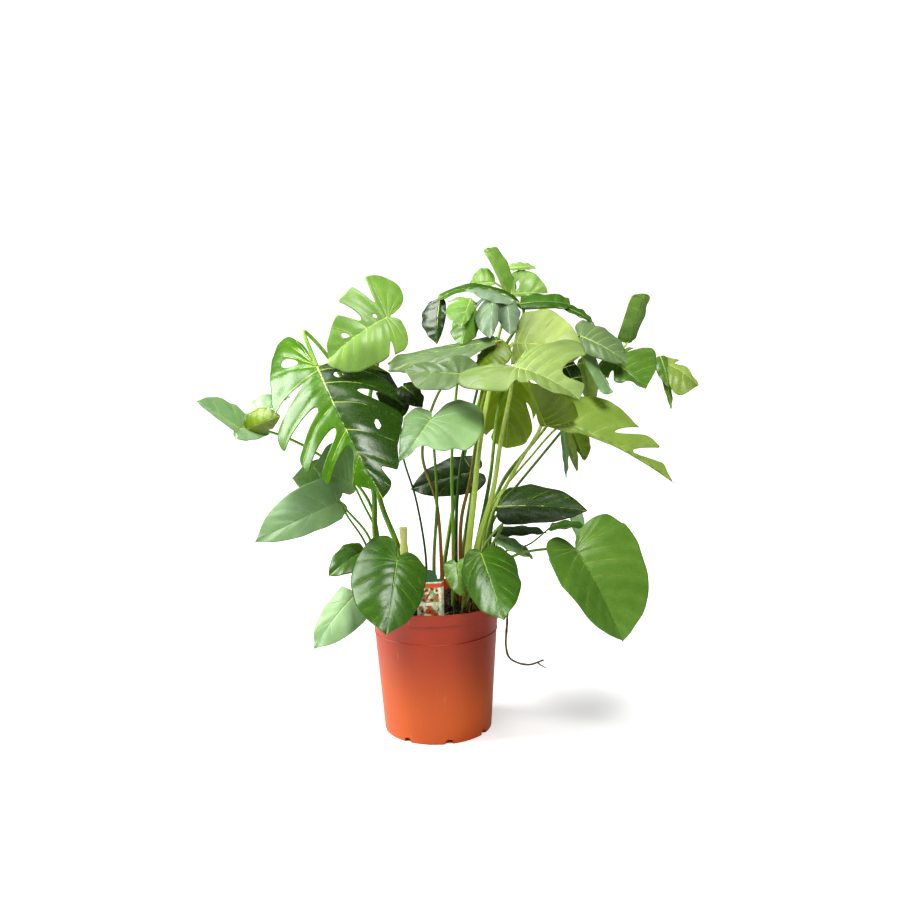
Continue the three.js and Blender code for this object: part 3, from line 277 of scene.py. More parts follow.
        (52, 8), (0.03, -0.08), 41, (3, 5), (22, 20),
        reach=((1, 1, 0.95, 1, 1, 1), (1, 0.95, 0.7, 1, 0.5, 0.95)),
        cuts=(((0.56, 0.05, 1, 0.15, 0.5),), ()),
        stalk=((10, 96), (60, 130, 500), (140, 132, 760)), radius=(4.5, 3),
        straps=(
            bladeRow(
                "strap", "light", (166, 158, 848), (121, 161, 949), (0.3, -0.86, 0.41),
                (8, 31), (0, 0), 43, (8, -2), (16, 20),
            ),
            bladeRow(
                "lance", "light", (140, 166, 880), (88, 163, 879), (-0.11, -0.91, 0.4),
                (8, 33), (0, 0), 32, (9, 5), (15, 16),
            ),
            bladeRow(
                "lance", "light", (170, 176, 909), (226, 178, 908), (0, -0.72, 0.69),
                (14, 8), (0, 0), 25, (5, 5), (18, 19),
            ),
        ),
    ),
    "leaf_cut_top_left": bladeRow(
        "cut", "light", (85, 20, 850), (63, -36, 799), (-0.03, -0.87, 0.48),
        (15, 48), (-0.15, 0.03), 33, (-8, -3), (38, 34),
        cuts=(((0.5, 0.04, 0.4),), ((0.5, 0.04, 0.4),)),
        stalk=((36, 8), (39, 4, 400), (41, 4, 559), (62, 16, 740)), radius=(3.6, 2.4),
        straps=(
            bladeRow(
                "lance", "mid", (83, 24, 837), (64, -35, 765), (-0.18, -0.83, 0.53),
                (31, 40), (0, 0), 8, (-28, -26), (47, 18),
            ),
        ),
    ),
    "leaf_cut_top_front": bladeRow(
        "cut", "blue", (130, 34, 860), (117, -47, 777), (-0.05, -0.76, 0.64),
        (20, 44), (-0.16, -0.04), 47, (-13, -12), (61, 51),
        cuts=(((0.55, 0.04, 0.35),), ((0.55, 0.04, 0.4),)),
        stalk=((42, 28), (49, 22, 456), (63, 22, 552), (110, 34, 740)), radius=(3.6, 2.4),
        straps=(
            bladeRow(
                "lance", "blue", (152, 34, 856), (156, -24, 783), (0.01, -0.76, 0.65),
                (33, 28), (0, 0), 41, (-15, -20), (50, 58),
            ),
            bladeRow(
                "lance", "blue", (167, 26, 844), (74, 20, 868), (0, -0.4, 0.92),
                (26, 16), (0, 0), 24, (-2, 4), (19, 6),
            ),
        ),
    ),
    "leaf_cut_right_long": bladeRow(
        "cut", "fresh", (229, -40, 624), (470, -47, 488), (0.2, -0.48, 0.85),
        (98, 17), (0.07, 0.02), 23, (16, -30), (14, 30),
        reach=((0.9, 1.35, 0.75, 1.05, 0.95, 0.6), (0.95, 0.85, 1.25, 0.5, 0.3, 1)),
        cuts=(((0.725, 0.02, 0.4), (0.84, 0.035, 0.15)), ()),
        stalk=((96, -30), (112, -22, 420), (147, -16, 493), (198, -26, 578)), radius=(4.4, 3),
        straps=(
            bladeRow(
                "heart", "olive", (221, -42, 607), (187, -70, 696), (-0.45, -0.82, 0.35),
                (12, 69), (0, 0.05), 16, (-5, 16), (27, 51),
            ),
        ),
    ),
    "leaf_cut_right_hanging": bladeRow(
        "lance", "fresh", (264, 50, 596), (293, 61, 499), (-0.01, -0.94, 0.34),
        (12, 8), (0, 0), 27, (7, 6), (14, 14),
        stalk=((78, 44), (112, 20, 430), (200, 12, 545), (246, 30, 590)), radius=(3, 2.2),
        straps=(
            bladeRow(
                "lance", "olive", (281, 54, 597), (309, 74, 519), (-0.44, -0.86, 0.25),
                (32, 8), (0, 0), 9, (23, 2), (6, 19),
            ),
            bladeRow(
                "lance", "soft", (262, 46, 595), (269, 51, 489), (0.25, -0.9, 0.37),
                (8, 8), (0, 0), 30, (-5, 12), (31, 9),
            ),
        ),
    ),
    "leaf_cut_right_mid": bladeRow(
        "cut", "sage", (292, -10, 775), (380, -19, 722), (0.17, -0.67, 0.72),
        (67, 30), (0.17, -0.09), 26, (1, -6), (30, 32),
        cuts=(((0.5, 0.03, 0.8),), ()),
        stalk=((98, 4), (134, 34, 474), (204, 72, 560), (266, 66, 680), (286, 14, 752)), radius=(4.2, 2.8),
        straps=(
            bladeRow(
                "strap", "grey", (304, -4, 761), (351, -21, 665), (0.18, -0.84, 0.51),
                (8, 21), (0, 0), -13, (-20, 9), (50, 15),
            ),
            bladeRow(
                "lance", "fresh", (303, 52, 729), (322, 76, 634), (-0.04, -0.95, 0.31),
                (26, 16), (0, 0), 48, (33, 11), (-13, 10),
            ),
        ),
    ),
    "leaf_cut_right_upper": bladeRow(
        "cut", "mid", (359, 30, 721), (422, 0, 667), (0.21, -0.74, 0.63),
        (102, 40), (0.03, 0.22), 25, (5, 9), (22, 36),
        reach=((1, 1, 0.5, 1.05, 0.95, 0.75), (1, 0.9, 0.9, 1, 0.5, 0.75)),
        cuts=(((0.5, 0.03, 0.5),), ((0.55, 0.035, 0.5),)),
        stalk=((80, 84), (104, 106, 380), (170, 110, 460), (262, 104, 570), (350, 84, 680)),
        radius=(3.4, 2.4),
        straps=(
            bladeRow(
                "strap", "mid", (393, 52, 756), (419, 11, 852), (0.41, -0.89, 0.2),
                (26, 18), (0, 0), 18, (-2, -4), (28, 20),
            ),
        ),
    ),
    "leaf_cut_right_far": bladeRow(
        "cut", "fresh", (469, 76, 715), (536, 53, 667), (0.3, -0.81, 0.5),
        (23, 63), (0.12, -0.08), 28, (11, 2), (27, 38),
        reach=((1, 1.1, 0.8, 1.05, 0.7, 0.9), (1, 0.8, 0.3, 0.65, 1.1, 0.85)),
        cuts=(((0.6, 0.05, 0.4),), ((0.6, 0.05, 0.4),)),
        stalk=((88, 70), (124, 84, 440), (220, 92, 570), (320, 106, 676), (420, 100, 735)), radius=(3.6, 2.4),
        straps=(
            bladeRow(
                "lance", "mid", (464, 74, 703), (482, 60, 621), (0.25, -0.89, 0.37),
                (9, 8), (0, 0), 36, (4, 8), (17, 13),
            ),
            bladeRow(
                "lance", "mid", (462, 70, 727), (474, 50, 667), (0.3, -0.86, 0.42),
                (34, 17), (0, 0), 18, (-6, -1), (39, 25),
            ),
        ),
    ),
}

# Half of each outline, from the stalk round to the tip: share of the length, share of the half width.
outlines = {
    "heart": (
        (0, 0), (-0.6, 0.08), (-1, 0.3), (-0.95, 0.62), (-0.3, 0.9), (0.16, 1.01),
        (0.34, 0.99), (0.52, 0.88), (0.69, 0.7), (0.83, 0.46), (0.93, 0.18), (1, 0),
    ),
    "strap": (
        (0, 0), (0.01, 0.4), (0.02, 0.8), (0.1, 0.94), (0.3, 1), (0.5, 1.02),
        (0.7, 1.02), (0.86, 0.98), (0.96, 0.8), (0.99, 0.4), (1, 0.2), (1, 0),
    ),
    "lance": (
        (0, 0), (0.01, 0.34), (0.05, 0.62), (0.14, 0.85), (0.28, 0.98), (0.42, 1.01),
        (0.56, 0.94), (0.69, 0.78), (0.81, 0.56), (0.91, 0.32), (0.97, 0.13), (1, 0),
    ),
    "cut": (
        (0, 0), (-0.5, 0.08), (-0.95, 0.26), (-1, 0.54), (-0.6, 0.84), (0.08, 0.99),
        (0.28, 1.01), (0.48, 0.94), (0.67, 0.78), (0.83, 0.54), (0.94, 0.25), (1, 0),
    ),
}
blade = {
    "thickness": 0.9,                  # mm
    "spacing": 3.0,                    # mm between points
    "rows": (10, 52),                  # fewest and most from the midrib to the margin
    "columns": (6, 150),               # fewest and most along the margin of a lobe
    "weld": 0.02,                      # mm
    "bulge": 1.6,                      # mm that the blade stands up between its veins
    "bulgeWidth": 7.0,                 # mm from a vein to the full bulge
    "calm": {"heart": 0.55},           # share of the bulge that a young leaf shows
    "ripple": 1.7,                     # mm of slow unevenness
    "rippleSize": 23,                  # mm
    "rippleFrom": 30,                  # mm from the midrib to the full ripple
    "edgeWave": 1.6,                   # mm at the margin
    "edgeWaves": 31,                   # turns of the wave round a half, in radians
    "cornerBase": (0.07, 0.05),        # how far a cut lobe is rounded on the side of the stalk
    "cornerTip": (0.03, 0.06),         # how far it stands out and is rounded on the side of the tip
    "cutOpening": 0.38,                # power with which a cut widens outwards
    "holeWidth": 0.75,                 # share of its row's width
    "veinEvery": 0.085,                # between the side veins of an uncut blade, round the margin
    "smallEvery": 1.35,                # times as far on a small leaf
    "smallLeaf": 60,                   # mm of half width under which a leaf is small
    "veinStarts": (0, 0, 0, 0, 0.01, 0.05, 0.17, 0.33, 0.54, 0.73, 0.9),      # along the midrib
    "veinBows": (0.2, 0.14, 0.06, 0, -0.04, -0.07, -0.09, -0.1, -0.1, -0.06, 0),
}
stalk = {
    "sides": 14, "step": 7,
    "sunk": 33.7, "straight": 8,                        # mm in the soil, and straight up above it
    "knee": 0.16, "kneeAt": 0.95, "kneeLength": 0.03,   # how much thicker it is just below the blade
    "sheath": 0.18, "sheathLength": 0.18,               # and at its foot
}
rib = {
    "sides": 7,
    "points": 26, "gap": 2, "taper": 0.22, "sink": 0.45,                      # the midrib
    "veinPoints": 14, "veinEnd": 0.92, "veinRadius": 0.34, "veinSink": 0.8,   # the side veins
    "ofStalk": 0.8, "ofStrap": 0.5,                     # radius of a midrib as a share of the stalk's
    "link": 2.2,                                        # mm, from the midrib to a further lobe
}


def smoothStep(x, low, high):
    t = np.clip((x - low) / (high - low), 0, 1)
    return t * t * (3 - 2 * t)


def alongPoints(points, t):      # a smooth curve through evenly numbered points
    points = np.array(points, float)
    last = len(points) - 1
    place = np.clip(t, 0, 1) * last
    i = np.minimum(place.astype(int), last - 1)
    f = (place - i)[:, None]
    p0, p1, p2, p3 = points[np.maximum(i - 1, 0)], points[i], points[i + 1], points[np.minimum(i + 2, last)]
    b = p2 - p0
    c = 2 * p0 - 5 * p1 + 4 * p2 - p3
    d = 3 * p1 - p0 - 3 * p2 + p3
    return 0.5 * (2 * p1 + b * f + c * f * f + d * f ** 3)


def evenBlend(values, t):        # between values that are spread evenly over 0 to 1
    values = np.array(values, float)
    place = np.clip(t, 0, 1) * (len(values) - 1)
    i = np.minimum(place.astype(int), len(values) - 2)
    return values[i] + (values[i + 1] - values[i]) * smoothStep(place - i, 0, 1)


def bladeAxes(leaf):
    base, tip = np.array(leaf["base"], float), np.array(leaf["tip"], float)
    chord = np.linalg.norm(tip - base)
    forward = (tip - base) / chord
    up = np.array(leaf["face"], float)
    up = up - forward * (up @ forward)
    up /= np.linalg.norm(up)
    return base, forward, np.cross(up, forward), up, chord


# Points of a blade. half is 0 for the left one and 1 for the right one, around runs along the margin from the
# stalk to the tip, and out runs along a vein from the midrib to the margin.
def bladePoints(leaf, half, around, out):
    base, forward, leftward, up, chord = bladeAxes(leaf)
    around, out = np.broadcast_arrays(np.array(around, float), np.array(out, float))
    shape, around, out = around.shape, around.ravel(), out.ravel()
    droop = math.radians(leaf["droop"] or 0.01)      # a flat blade is a very slight arc
    length = chord * (droop / 2) / math.sin(droop / 2)
    width = leaf["widths"][half]
    reach = evenBlend(leaf["reach"][half], around)
    edge = alongPoints(outlines[leaf["shape"]], around)
    edgeU = np.where(edge[:, 0] < 0, edge[:, 0] * leaf["back"][half], edge[:, 0]) * length
    edgeV = edge[:, 1] * width * reach
    if leaf["shape"] in ("strap", "lance"):          # their veins run almost straight out
        startU, bow = np.maximum(0, edge[:, 0] - 0.04) * length, 0
    else:
        startU, bow = evenBlend(blade["veinStarts"], around) * length, evenBlend(blade["veinBows"], around)
    edgeU = startU + (edgeU - startU) * reach
    middleU = (startU + edgeU) / 2 + bow * np.hypot(edgeU - startU, edgeV)
    u = (1 - out) ** 2 * startU + 2 * out * (1 - out) * middleU + out ** 2 * edgeU
    v = out * (1 - out) * edgeV + out ** 2 * edgeV
    fold, curl = math.radians(leaf["fold"][half]), math.radians(leaf["curl"][half]) / width
    y = (math.sin(fold) - np.sin(fold - curl * v)) / curl * (1, -1)[half]
    z = (np.cos(fold - curl * v) - math.cos(fold)) / curl
    angle = droop * (0.5 - u / length)
    along = length / droop * (math.sin(droop / 2) - np.sin(angle)) - z * np.sin(angle)
    rise = length / droop * (np.cos(angle) - math.cos(droop / 2)) + z * np.cos(angle)
    points = base + along[:, None] * forward + y[:, None] * leftward + rise[:, None] * up
    return points.reshape(shape + (3,))


def veinPlaces(leaf, half):      # the side veins: one in each lobe, more in broad lobes and in uncut blades
    bounds = [0.02] + [cut[0] for cut in leaf["cuts"][half]] + [0.985]
    step = blade["veinEvery"] * (blade["smallEvery"] if max(leaf["widths"]) < blade["smallLeaf"] else 1)
    places = []
    for low, high in zip(bounds, bounds[1:]):
        n = max(1, round((high - low) / step))
        places += [low + (high - low) * (i + 0.5) / n for i in range(n)]
    return places


def cutWidth(cut, out):          # half the width of a cut or hole at each place along its vein
    if not cut:
        return 0 * out
    if cut[2] < 1:
        return cut[1] * np.clip((out - cut[2]) / (1 - cut[2]), 0, 1) ** blade["cutOpening"]
    q = (2 * out - cut[3] - cut[4]) / (cut[4] - cut[3])
    return cut[1] * blade["holeWidth"] * np.sqrt(np.clip(1 - q * q, 0, 1))


# One half of a blade as grids of points, a grid for each lobe, with what the materials read at each point.
def bladeHalf(leaf, half):
    cuts = sorted(leaf["cuts"][half])
    rows = int(np.clip(leaf["widths"][half] / blade["spacing"], *blade["rows"]))
    out = np.linspace(0, 1, rows + 1)
    middle = bladePoints(leaf, half, np.linspace(0, 1, 40), 0.0)
    end = bladePoints(leaf, half, np.ones(6), np.linspace(0, 1, 6))
    middle = np.concatenate((middle, end))
    made = []
    for low, high in zip([None] + cuts, cuts + [None]):
        start, stop = (low[0] if low else 0), (high[0] if high else 1)
        margin = bladePoints(leaf, half, np.linspace(start, stop, 24), 1.0)
        run = np.linalg.norm(np.diff(margin, axis=0), axis=1).sum()
        s = np.linspace(0, 1, int(np.clip(run / blade["spacing"], *blade["columns"])) + 1)[:, None]
        lowEdge, highEdge = start + cutWidth(low, out), stop - cutWidth(high, out)
        around = lowEdge + (highEdge - lowEdge) * s
        far = 1 + 0 * around
        if low and low[2] < 1:
            wide, narrow = blade["cornerBase"]
            far -= smoothStep(out, low[2], 1) * (wide * (1 - s) ** 3 + narrow * (1 - s) ** 14)
        if high and high[2] < 1:
            wide, narrow = blade["cornerTip"]
            far += smoothStep(out, high[2], 1) * (wide * s ** 2 - narrow * s ** 14)
        made.append(bulged(leaf, half, around, out * far, middle))
    return made


def bulged(leaf, half, around, out, middle):
    points = bladePoints(leaf, half, around, out)
    along = bladePoints(leaf, half, np.clip(around + 0.004, 0, 1), out)
    along -= bladePoints(leaf, half, np.clip(around - 0.004, 0, 1), out)
    across = bladePoints(leaf, half, around, out + 0.02) - bladePoints(leaf, half, around, out - 0.02)
    normal = np.cross(along, across) * (1, -1)[half]
    size = np.linalg.norm(normal, axis=2, keepdims=True)
    normal = np.where(size > 1e-6, normal / np.maximum(size, 1e-6), bladeAxes(leaf)[3])
    veinGap = np.full(around.shape, 99.0)
    for place in veinPlaces(leaf, half):
        line = bladePoints(leaf, half, np.full_like(out, place), out)
        veinGap = np.minimum(veinGap, np.linalg.norm(points - line, axis=2))
    ribGap = np.linalg.norm(points[:, :, None] - middle[None, None], axis=3).min(axis=2)
    bulge = blade["bulge"] * blade["calm"].get(leaf["shape"], 1) * (1 - 0.5 * out)
    lift = bulge * (1 - np.exp(-(np.minimum(veinGap, ribGap) / blade["bulgeWidth"]) ** 2))
    x, y, z = np.moveaxis(points, 2, 0) / blade["rippleSize"]
    ripple = blade["ripple"] * np.sin(x + 1.3 * z) * np.cos(1.7 * y - 0.6 * x)
    lift += ripple * smoothStep(ribGap, 0, blade["rippleFrom"])
    lift += blade["edgeWave"] * out ** 3 * np.sin(around * blade["edgeWaves"] + half * 2 + leaf["base"][0])
    return points + normal * lift[:, :, None], around, out, veinGap, ribGap


def bladeMesh(name, lobes):      # every lobe takes a material of its own
    verts, faces, slots = [], [], []
    layers = {"around": [], "outward": [], "veinGap": [], "ribGap": [], "half": []}
    count = 0
    for slot, leaf in enumerate(lobes):
        for half in (0, 1):
            for points, *values in bladeHalf(leaf, half):
                columns, rows = values[0].shape
                index = count + np.arange(columns * rows).reshape(columns, rows)
                a, b, c, d = index[:-1, :-1], index[:-1, 1:], index[1:, 1:], index[1:, :-1]
                quads = np.stack((a, d, c, b) if half == 0 else (a, b, c, d), axis=2).reshape(-1, 4)
                verts.append(points.reshape(-1, 3) * mm)
                faces.append(quads)
                slots += [slot] * len(quads)
                for layer, value in zip(layers.values(), values + [np.full((columns, rows), half)]):
                    layer.append(value.ravel())
                count += columns * rows
    mesh = bpy.data.meshes.new(name)
    mesh.from_pydata(np.concatenate(verts).tolist(), [], np.concatenate(faces).tolist())
    mesh.polygons.foreach_set("material_index", slots)
    for key, values in layers.items():
        layer = mesh.attributes.new(key, "FLOAT", "POINT")
        layer.data.foreach_set("value", np.concatenate(values).astype(np.float32))
    tidy = bmesh.new()
    tidy.from_mesh(mesh)
    for half in (0, 1):           # each half is welded by itself, and the midrib covers where they meet
        key = tidy.verts.layers.float["half"]
        own = [v for v in tidy.verts if v[key] == half]
        bmesh.ops.remove_doubles(tidy, verts=own, dist=blade["weld"] * mm)
    bmesh.ops.dissolve_degenerate(tidy, edges=tidy.edges, dist=blade["weld"] * mm)
    tidy.to_mesh(mesh)
    tidy.free()
    return mesh


def put(node, name, value):      # links a socket to an input of a node, or sets its value
    if isinstance(value, bpy.types.NodeSocket):
        node.id_data.links.new(value, node.inputs[name])
    else:
        node.inputs[name].default_value = value


def addNode(tree, kind, inputs=None, **settings):
    node = tree.nodes.new(kind)
    for key, value in settings.items():
        setattr(node, key, value)
    for key, value in (inputs or {}).items():
        put(node, key, value)
    return node


def newGroup(name, inputs, outputs, kind="ShaderNodeTree"):
    tree = bpy.data.node_groups.new(name, kind)
    for label, socketKind, *value in inputs:
        socket = tree.interface.new_socket(name=label, in_out="INPUT", socket_type="NodeSocket" + socketKind)
        if value:
            socket.default_value = value[0]
    for label, socketKind in outputs:
        tree.interface.new_socket(name=label, in_out="OUTPUT", socket_type="NodeSocket" + socketKind)
    return tree, tree.nodes.new("NodeGroupInput"), tree.nodes.new("NodeGroupOutput")


def closeTree(start, end, geometry):
    real = addNode(end.id_data, "GeometryNodeRealizeInstances", {"Geometry": geometry})
    values = {"Geometry": real.outputs["Geometry"], "Material": start.outputs["Material"]}
    put(end, "Geometry", addNode(end.id_data, "GeometryNodeSetMaterial", values).outputs["Geometry"])


# A tree that turns curves with a radius at each point into round stalks, veins and roots with closed ends.
def buildSweepTree():
    tree, start, end = newGroup(
        "sweepTree", [("Geometry", "Geometry"), ("Sides", "Int"), ("Material", "Material")],
        [("Geometry", "Geometry")], "GeometryNodeTree",
    )
    ring = {"Resolution": start.outputs["Sides"], "Radius": 1}
    ring = addNode(tree, "GeometryNodeCurvePrimitiveCircle", ring)
    sweep = addNode(tree, "GeometryNodeCurveToMesh", {
        "Curve": start.outputs["Geometry"], "Profile Curve": ring.outputs["Curve"], "Fill Caps": True,
        "Scale": tree.nodes.new("GeometryNodeInputRadius").outputs["Radius"],
    })
    closeTree(start, end, sweep.outputs["Mesh"])
    return tree


# A tree that scatters small lumps over the top of a surface.
def buildGrainTree():
    tree, start, end = newGroup(
        "grainTree",
        [("Geometry", "Geometry"), ("Grains", "Float"), ("Size", "Float"), ("Stretch", "Float"),
         ("Seed", "Int"), ("Lowest", "Float"), ("Material", "Material")],
        [("Geometry", "Geometry")], "GeometryNodeTree",
    )
    asked = start.outputs
    place, normal = (
        addNode(tree, "ShaderNodeSeparateXYZ", {0: tree.nodes.new(kind).outputs[0]}).outputs["Z"]
        for kind in ("GeometryNodeInputPosition", "GeometryNodeInputNormal")
    )
    top = times(tree, mathNode(tree, "GREATER_THAN", place, asked["Lowest"]),
                mathNode(tree, "GREATER_THAN", normal, 0.4))
    scatter = addNode(tree, "GeometryNodeDistributePointsOnFaces", {
        "Mesh": asked["Geometry"], "Selection": top, "Density": asked["Grains"], "Seed": asked["Seed"],
    })
    lump = addNode(tree, "GeometryNodeMeshIcoSphere", {"Subdivisions": 1, "Radius": asked["Size"]})
    turn = addNode(tree, "FunctionNodeRandomValue", {1: (6.28, 6.28, 6.28)}, data_type="FLOAT_VECTOR")
    largest = addNode(tree, "ShaderNodeCombineXYZ", {"X": asked["Stretch"], "Y": 1.1, "Z": 0.8})
    grow = addNode(tree, "FunctionNodeRandomValue", {
        0: (0.3, 0.3, 0.25), 1: largest.outputs[0], "Seed": asked["Seed"],
    }, data_type="FLOAT_VECTOR")
    lumps = addNode(tree, "GeometryNodeInstanceOnPoints", {
        "Points": scatter.outputs["Points"], "Instance": lump.outputs["Mesh"], "Rotation": turn.outputs[0],
        "Scale": grow.outputs[0],
    })
    closeTree(start, end, lumps.outputs["Instances"])
    return tree


def shaped(name, data, *modifiers):      # a plain mesh of the data with these modifiers
    obj = bpy.data.objects.new(name, data)
    scene.collection.objects.link(obj)
    for kind, settings in modifiers:
        modifier = obj.modifiers.new(kind, kind)
        inputs = settings.pop("inputs", {})
        for key, value in settings.items():
            setattr(modifier, key, value)
        for item in modifier.node_group.interface.items_tree if inputs else ():
            if item.in_out == "INPUT" and item.name in inputs:
                modifier[item.identifier] = inputs[item.name]
    graph = bpy.context.evaluated_depsgraph_get()
    graph.update()
    mesh = bpy.data.meshes.new_from_object(obj.evaluated_get(graph), depsgraph=graph)
    bpy.data.objects.remove(obj)
    return mesh


def smooth(mesh):
    mesh.polygons.foreach_set("use_smooth", [True] * len(mesh.polygons))


def sweptMesh(name, paths, sides, material):
    curve = bpy.data.curves.new(name, "CURVE")
    curve.dimensions = "3D"
    for points, radii in paths:
        spline = curve.splines.new("POLY")
        spline.points.add(len(points) - 1)
        for p, point, radius in zip(spline.points, points, radii):
            p.co = (*(np.array(point) * mm), 1)
            p.radius = radius * mm
    inputs = {"Sides": sides, "Material": material}
    mesh = shaped(name, curve, ("NODES", {"node_group": sweepTree, "inputs": inputs}))
    mesh.polygons.foreach_set("use_smooth", [len(p.vertices) == 4 for p in mesh.polygons])
    return mesh


def joined(name, meshes):        # meshes that keep their materials, as one piece
    slots = []
    whole = bmesh.new()
    for mesh in meshes:
        own = []
        for material in mesh.materials:
            if material not in slots:
                slots.append(material)
            own.append(slots.index(material))
        indices = np.zeros(len(mesh.polygons), int)
        mesh.polygons.foreach_get("material_index", indices)
        mesh.polygons.foreach_set("material_index", np.array(own)[np.minimum(indices, len(own) - 1)])
        whole.from_mesh(mesh)
    result = bpy.data.meshes.new(name)
    whole.to_mesh(result)
    whole.free()
    for material in slots:
        result.materials.append(material)
    return result


def addPiece(name, mesh, slotName, *nodes):
    piece = bpy.data.objects.new(name, mesh)
    scene.collection.objects.link(piece)
    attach(piece, "root")
    if nodes:
        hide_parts(*nodes)


def smoothPath(points, step):    # a curve through the points that neither loops nor overshoots
    points = [np.array(p, float) for p in points]
    points = [2 * points[0] - points[1]] + points + [2 * points[-1] - points[-2]]
    path = []
    for p0, p1, p2, p3 in zip(points, points[1:], points[2:], points[3:]):
        d0, d1, d2 = (max(np.linalg.norm(b - a), 1e-4) ** 0.5 for a, b in ((p0, p1), (p1, p2), (p2, p3)))
        m1 = ((p1 - p0) / d0 - (p2 - p0) / (d0 + d1) + (p2 - p1) / d1) * d1
        m2 = ((p2 - p1) / d1 - (p3 - p1) / (d1 + d2) + (p3 - p2) / d2) * d1
        n = max(2, round(np.linalg.norm(p2 - p1) / step))
        for t in np.arange(n) / n:
            path.append(
                (2 * t ** 3 - 3 * t ** 2 + 1) * p1 + (t ** 3 - 2 * t ** 2 + t) * m1
                + (3 * t ** 2 - 2 * t ** 3) * p2 + (t ** 3 - t ** 2) * m2
            )
    return path + [points[-2]]


# Leaf colours: upper side of the left and right half, whose difference is painted light and shade, under
# side, veins, how rough its shine is, how much its veins stand out, how much light comes through, and its
# stalk.
leafLooks = {
    # The left half is painted in shade and the right half painted lit.
    "bright": ("2b4e02", "477600", "6f8826", "c8dc58", 0.26, 0.85, 0.12, "green"),
    "light": ("8fb45c", "80a84e", "b0c474", "d8ec98", 0.36, 0.6, 0.22, "green"),
    "fresh": ("9eb85c", "92ab50", "b4c470", "e0eca4", 0.36, 0.5, 0.25, "light"),
    "mid": ("6e9638", "628a30", "94ac60", "b0d470", 0.33, 0.5, 0.1, "olive"),
    "deep": ("446e16", "3a620e", "7b9532", "88b44c", 0.3, 0.45, 0.08, "olive"),
    # Lobes that lie in shadow: a deep green darkened as painted shade.
    "dark": ("28440f", "223a0d", "4c7028", "648f3c", 0.3, 0.4, 0.06, "dark"),
    "grey": ("90b07c", "82a46e", "a8c084", "cce8b0", 0.33, 0.6, 0.12, "olive"),
    "blue": ("8ca484", "7c9474", "b0c090", "c4d8b0", 0.34, 0.4, 0.1, "dark"),
    "sage": ("78905f", "6c8654", "98ac78", "bcd898", 0.34, 0.55, 0.1, "olive"),
    "soft": ("98b888", "8aac7a", "a4bc8c", "dcf0c8", 0.38, 0.5, 0.2, "green"),
    "pale": ("98ae6a", "889e5a", "aabb84", "dcecb0", 0.38, 0.6, 0.25, "light"),
    "cream": ("a6b86c", "9aac60", "acbe78", "e2eeb0", 0.4, 0.6, 0.3, "light"),
    "olive": ("7c980e", "6e8408", "a0b828", "b8cc58", 0.36, 0.5, 0.25, "olive"),
    "withered": ("d08a1c", "b46c18", "c08a3a", "dca850", 0.7, 0.5, 0.2, "withered"),
}
leafDetail = {
    "veinWidth": 0.65,           # mm, half the width of a side vein at the midrib
    "ribWidth": 1.5,             # mm, half the width of the midrib
    "mottle": 0.24,              # how far the green changes from place to place
    "netScale": 230,             # cells of the fine net of veins, to the metre
    "netDepth": 0.12,            # how much that net shows
    "between": 0.5,              # how much deeper the green is between the veins
    "specular": 0.4, "coat": 0.08, "coatRoughness": 0.25,
    "underSpecular": 0.2, "underRougher": 0.2,
    "bump": 0.25, "bumpDepth": 0.0006,
    "glow": {"Hue": 0.485, "Saturation": 1.15, "Value": 1.7},      # of the light that comes through
}
# Where the lower green is darker than the upper one, that is painted shade inside the clump; the dark stalks
# are painted in shade like their blades.
stalkLooks = {                   # near the soil and higher up
    "green": ("6a9420", "86b43c"), "dark": ("2c4214", "4c7024"), "light": ("8eac3c", "bccf6c"),
    "olive": ("4c6a1a", "7a9a34"), "rust": ("8e4c1a", "7c9434"), "cut": ("a8b458", "efe4b0"),
    "withered": ("b98428", "d8a648"),
}
stalkDetail = {
    "green": (0.26, 0.62),       # m, where the colour changes from the lower to the upper one
    "brown": (0.44, 0.26),       # m, where the brown streaks begin and are full
    "brownColour": "94602c", "brownShare": 0.7, "streaks": (260, 260, 14), "streakShare": 0.55, "rough": 0.42,
}


def colour(code):
    values = [int(code[i:i + 2], 16) / 255 for i in (0, 2, 4)]
    return [v / 12.92 if v < 0.04045 else ((v + 0.055) / 1.055) ** 2.4 for v in values] + [1]


def mathNode(tree, operation, a, b):
    return addNode(tree, "ShaderNodeMath", {0: a, 1: b}, operation=operation).outputs[0]


def times(tree, a, b):
    return mathNode(tree, "MULTIPLY", a, b)


def plus(tree, a, b):
    return mathNode(tree, "ADD", a, b)


def mixColour(tree, factor, a, b, blend="MIX"):
    values = {0: factor, 6: a, 7: b}
    return addNode(tree, "ShaderNodeMix", values, data_type="RGBA", blend_type=blend).outputs[2]


def rampNode(tree, value, low, high, fromValue=0.0, toValue=1.0):
    values = {0: value, 1: low, 2: high, 3: fromValue, 4: toValue}
    return addNode(tree, "ShaderNodeMapRange", values, interpolation_type="SMOOTHSTEP").outputs[0]


def attribute(tree, name):
    return addNode(tree, "ShaderNodeAttribute", attribute_name=name).outputs["Fac"]


def objectPoint(tree):
    return tree.nodes.new("ShaderNodeTexCoord").outputs["Object"]


def stretched(tree, vector, scale):
    return addNode(tree, "ShaderNodeMapping", {"Vector": vector, "Scale": scale}).outputs[0]


def splitNode(tree, vector):
    return addNode(tree, "ShaderNodeSeparateXYZ", {0: vector}).outputs


def noiseNode(tree, scale, detail=3.0, roughness=0.55, vector=None):
    values = {"Vector": vector or objectPoint(tree), "Scale": scale, "Detail": detail, "Roughness": roughness}
    return addNode(tree, "ShaderNodeTexNoise", values).outputs[0]


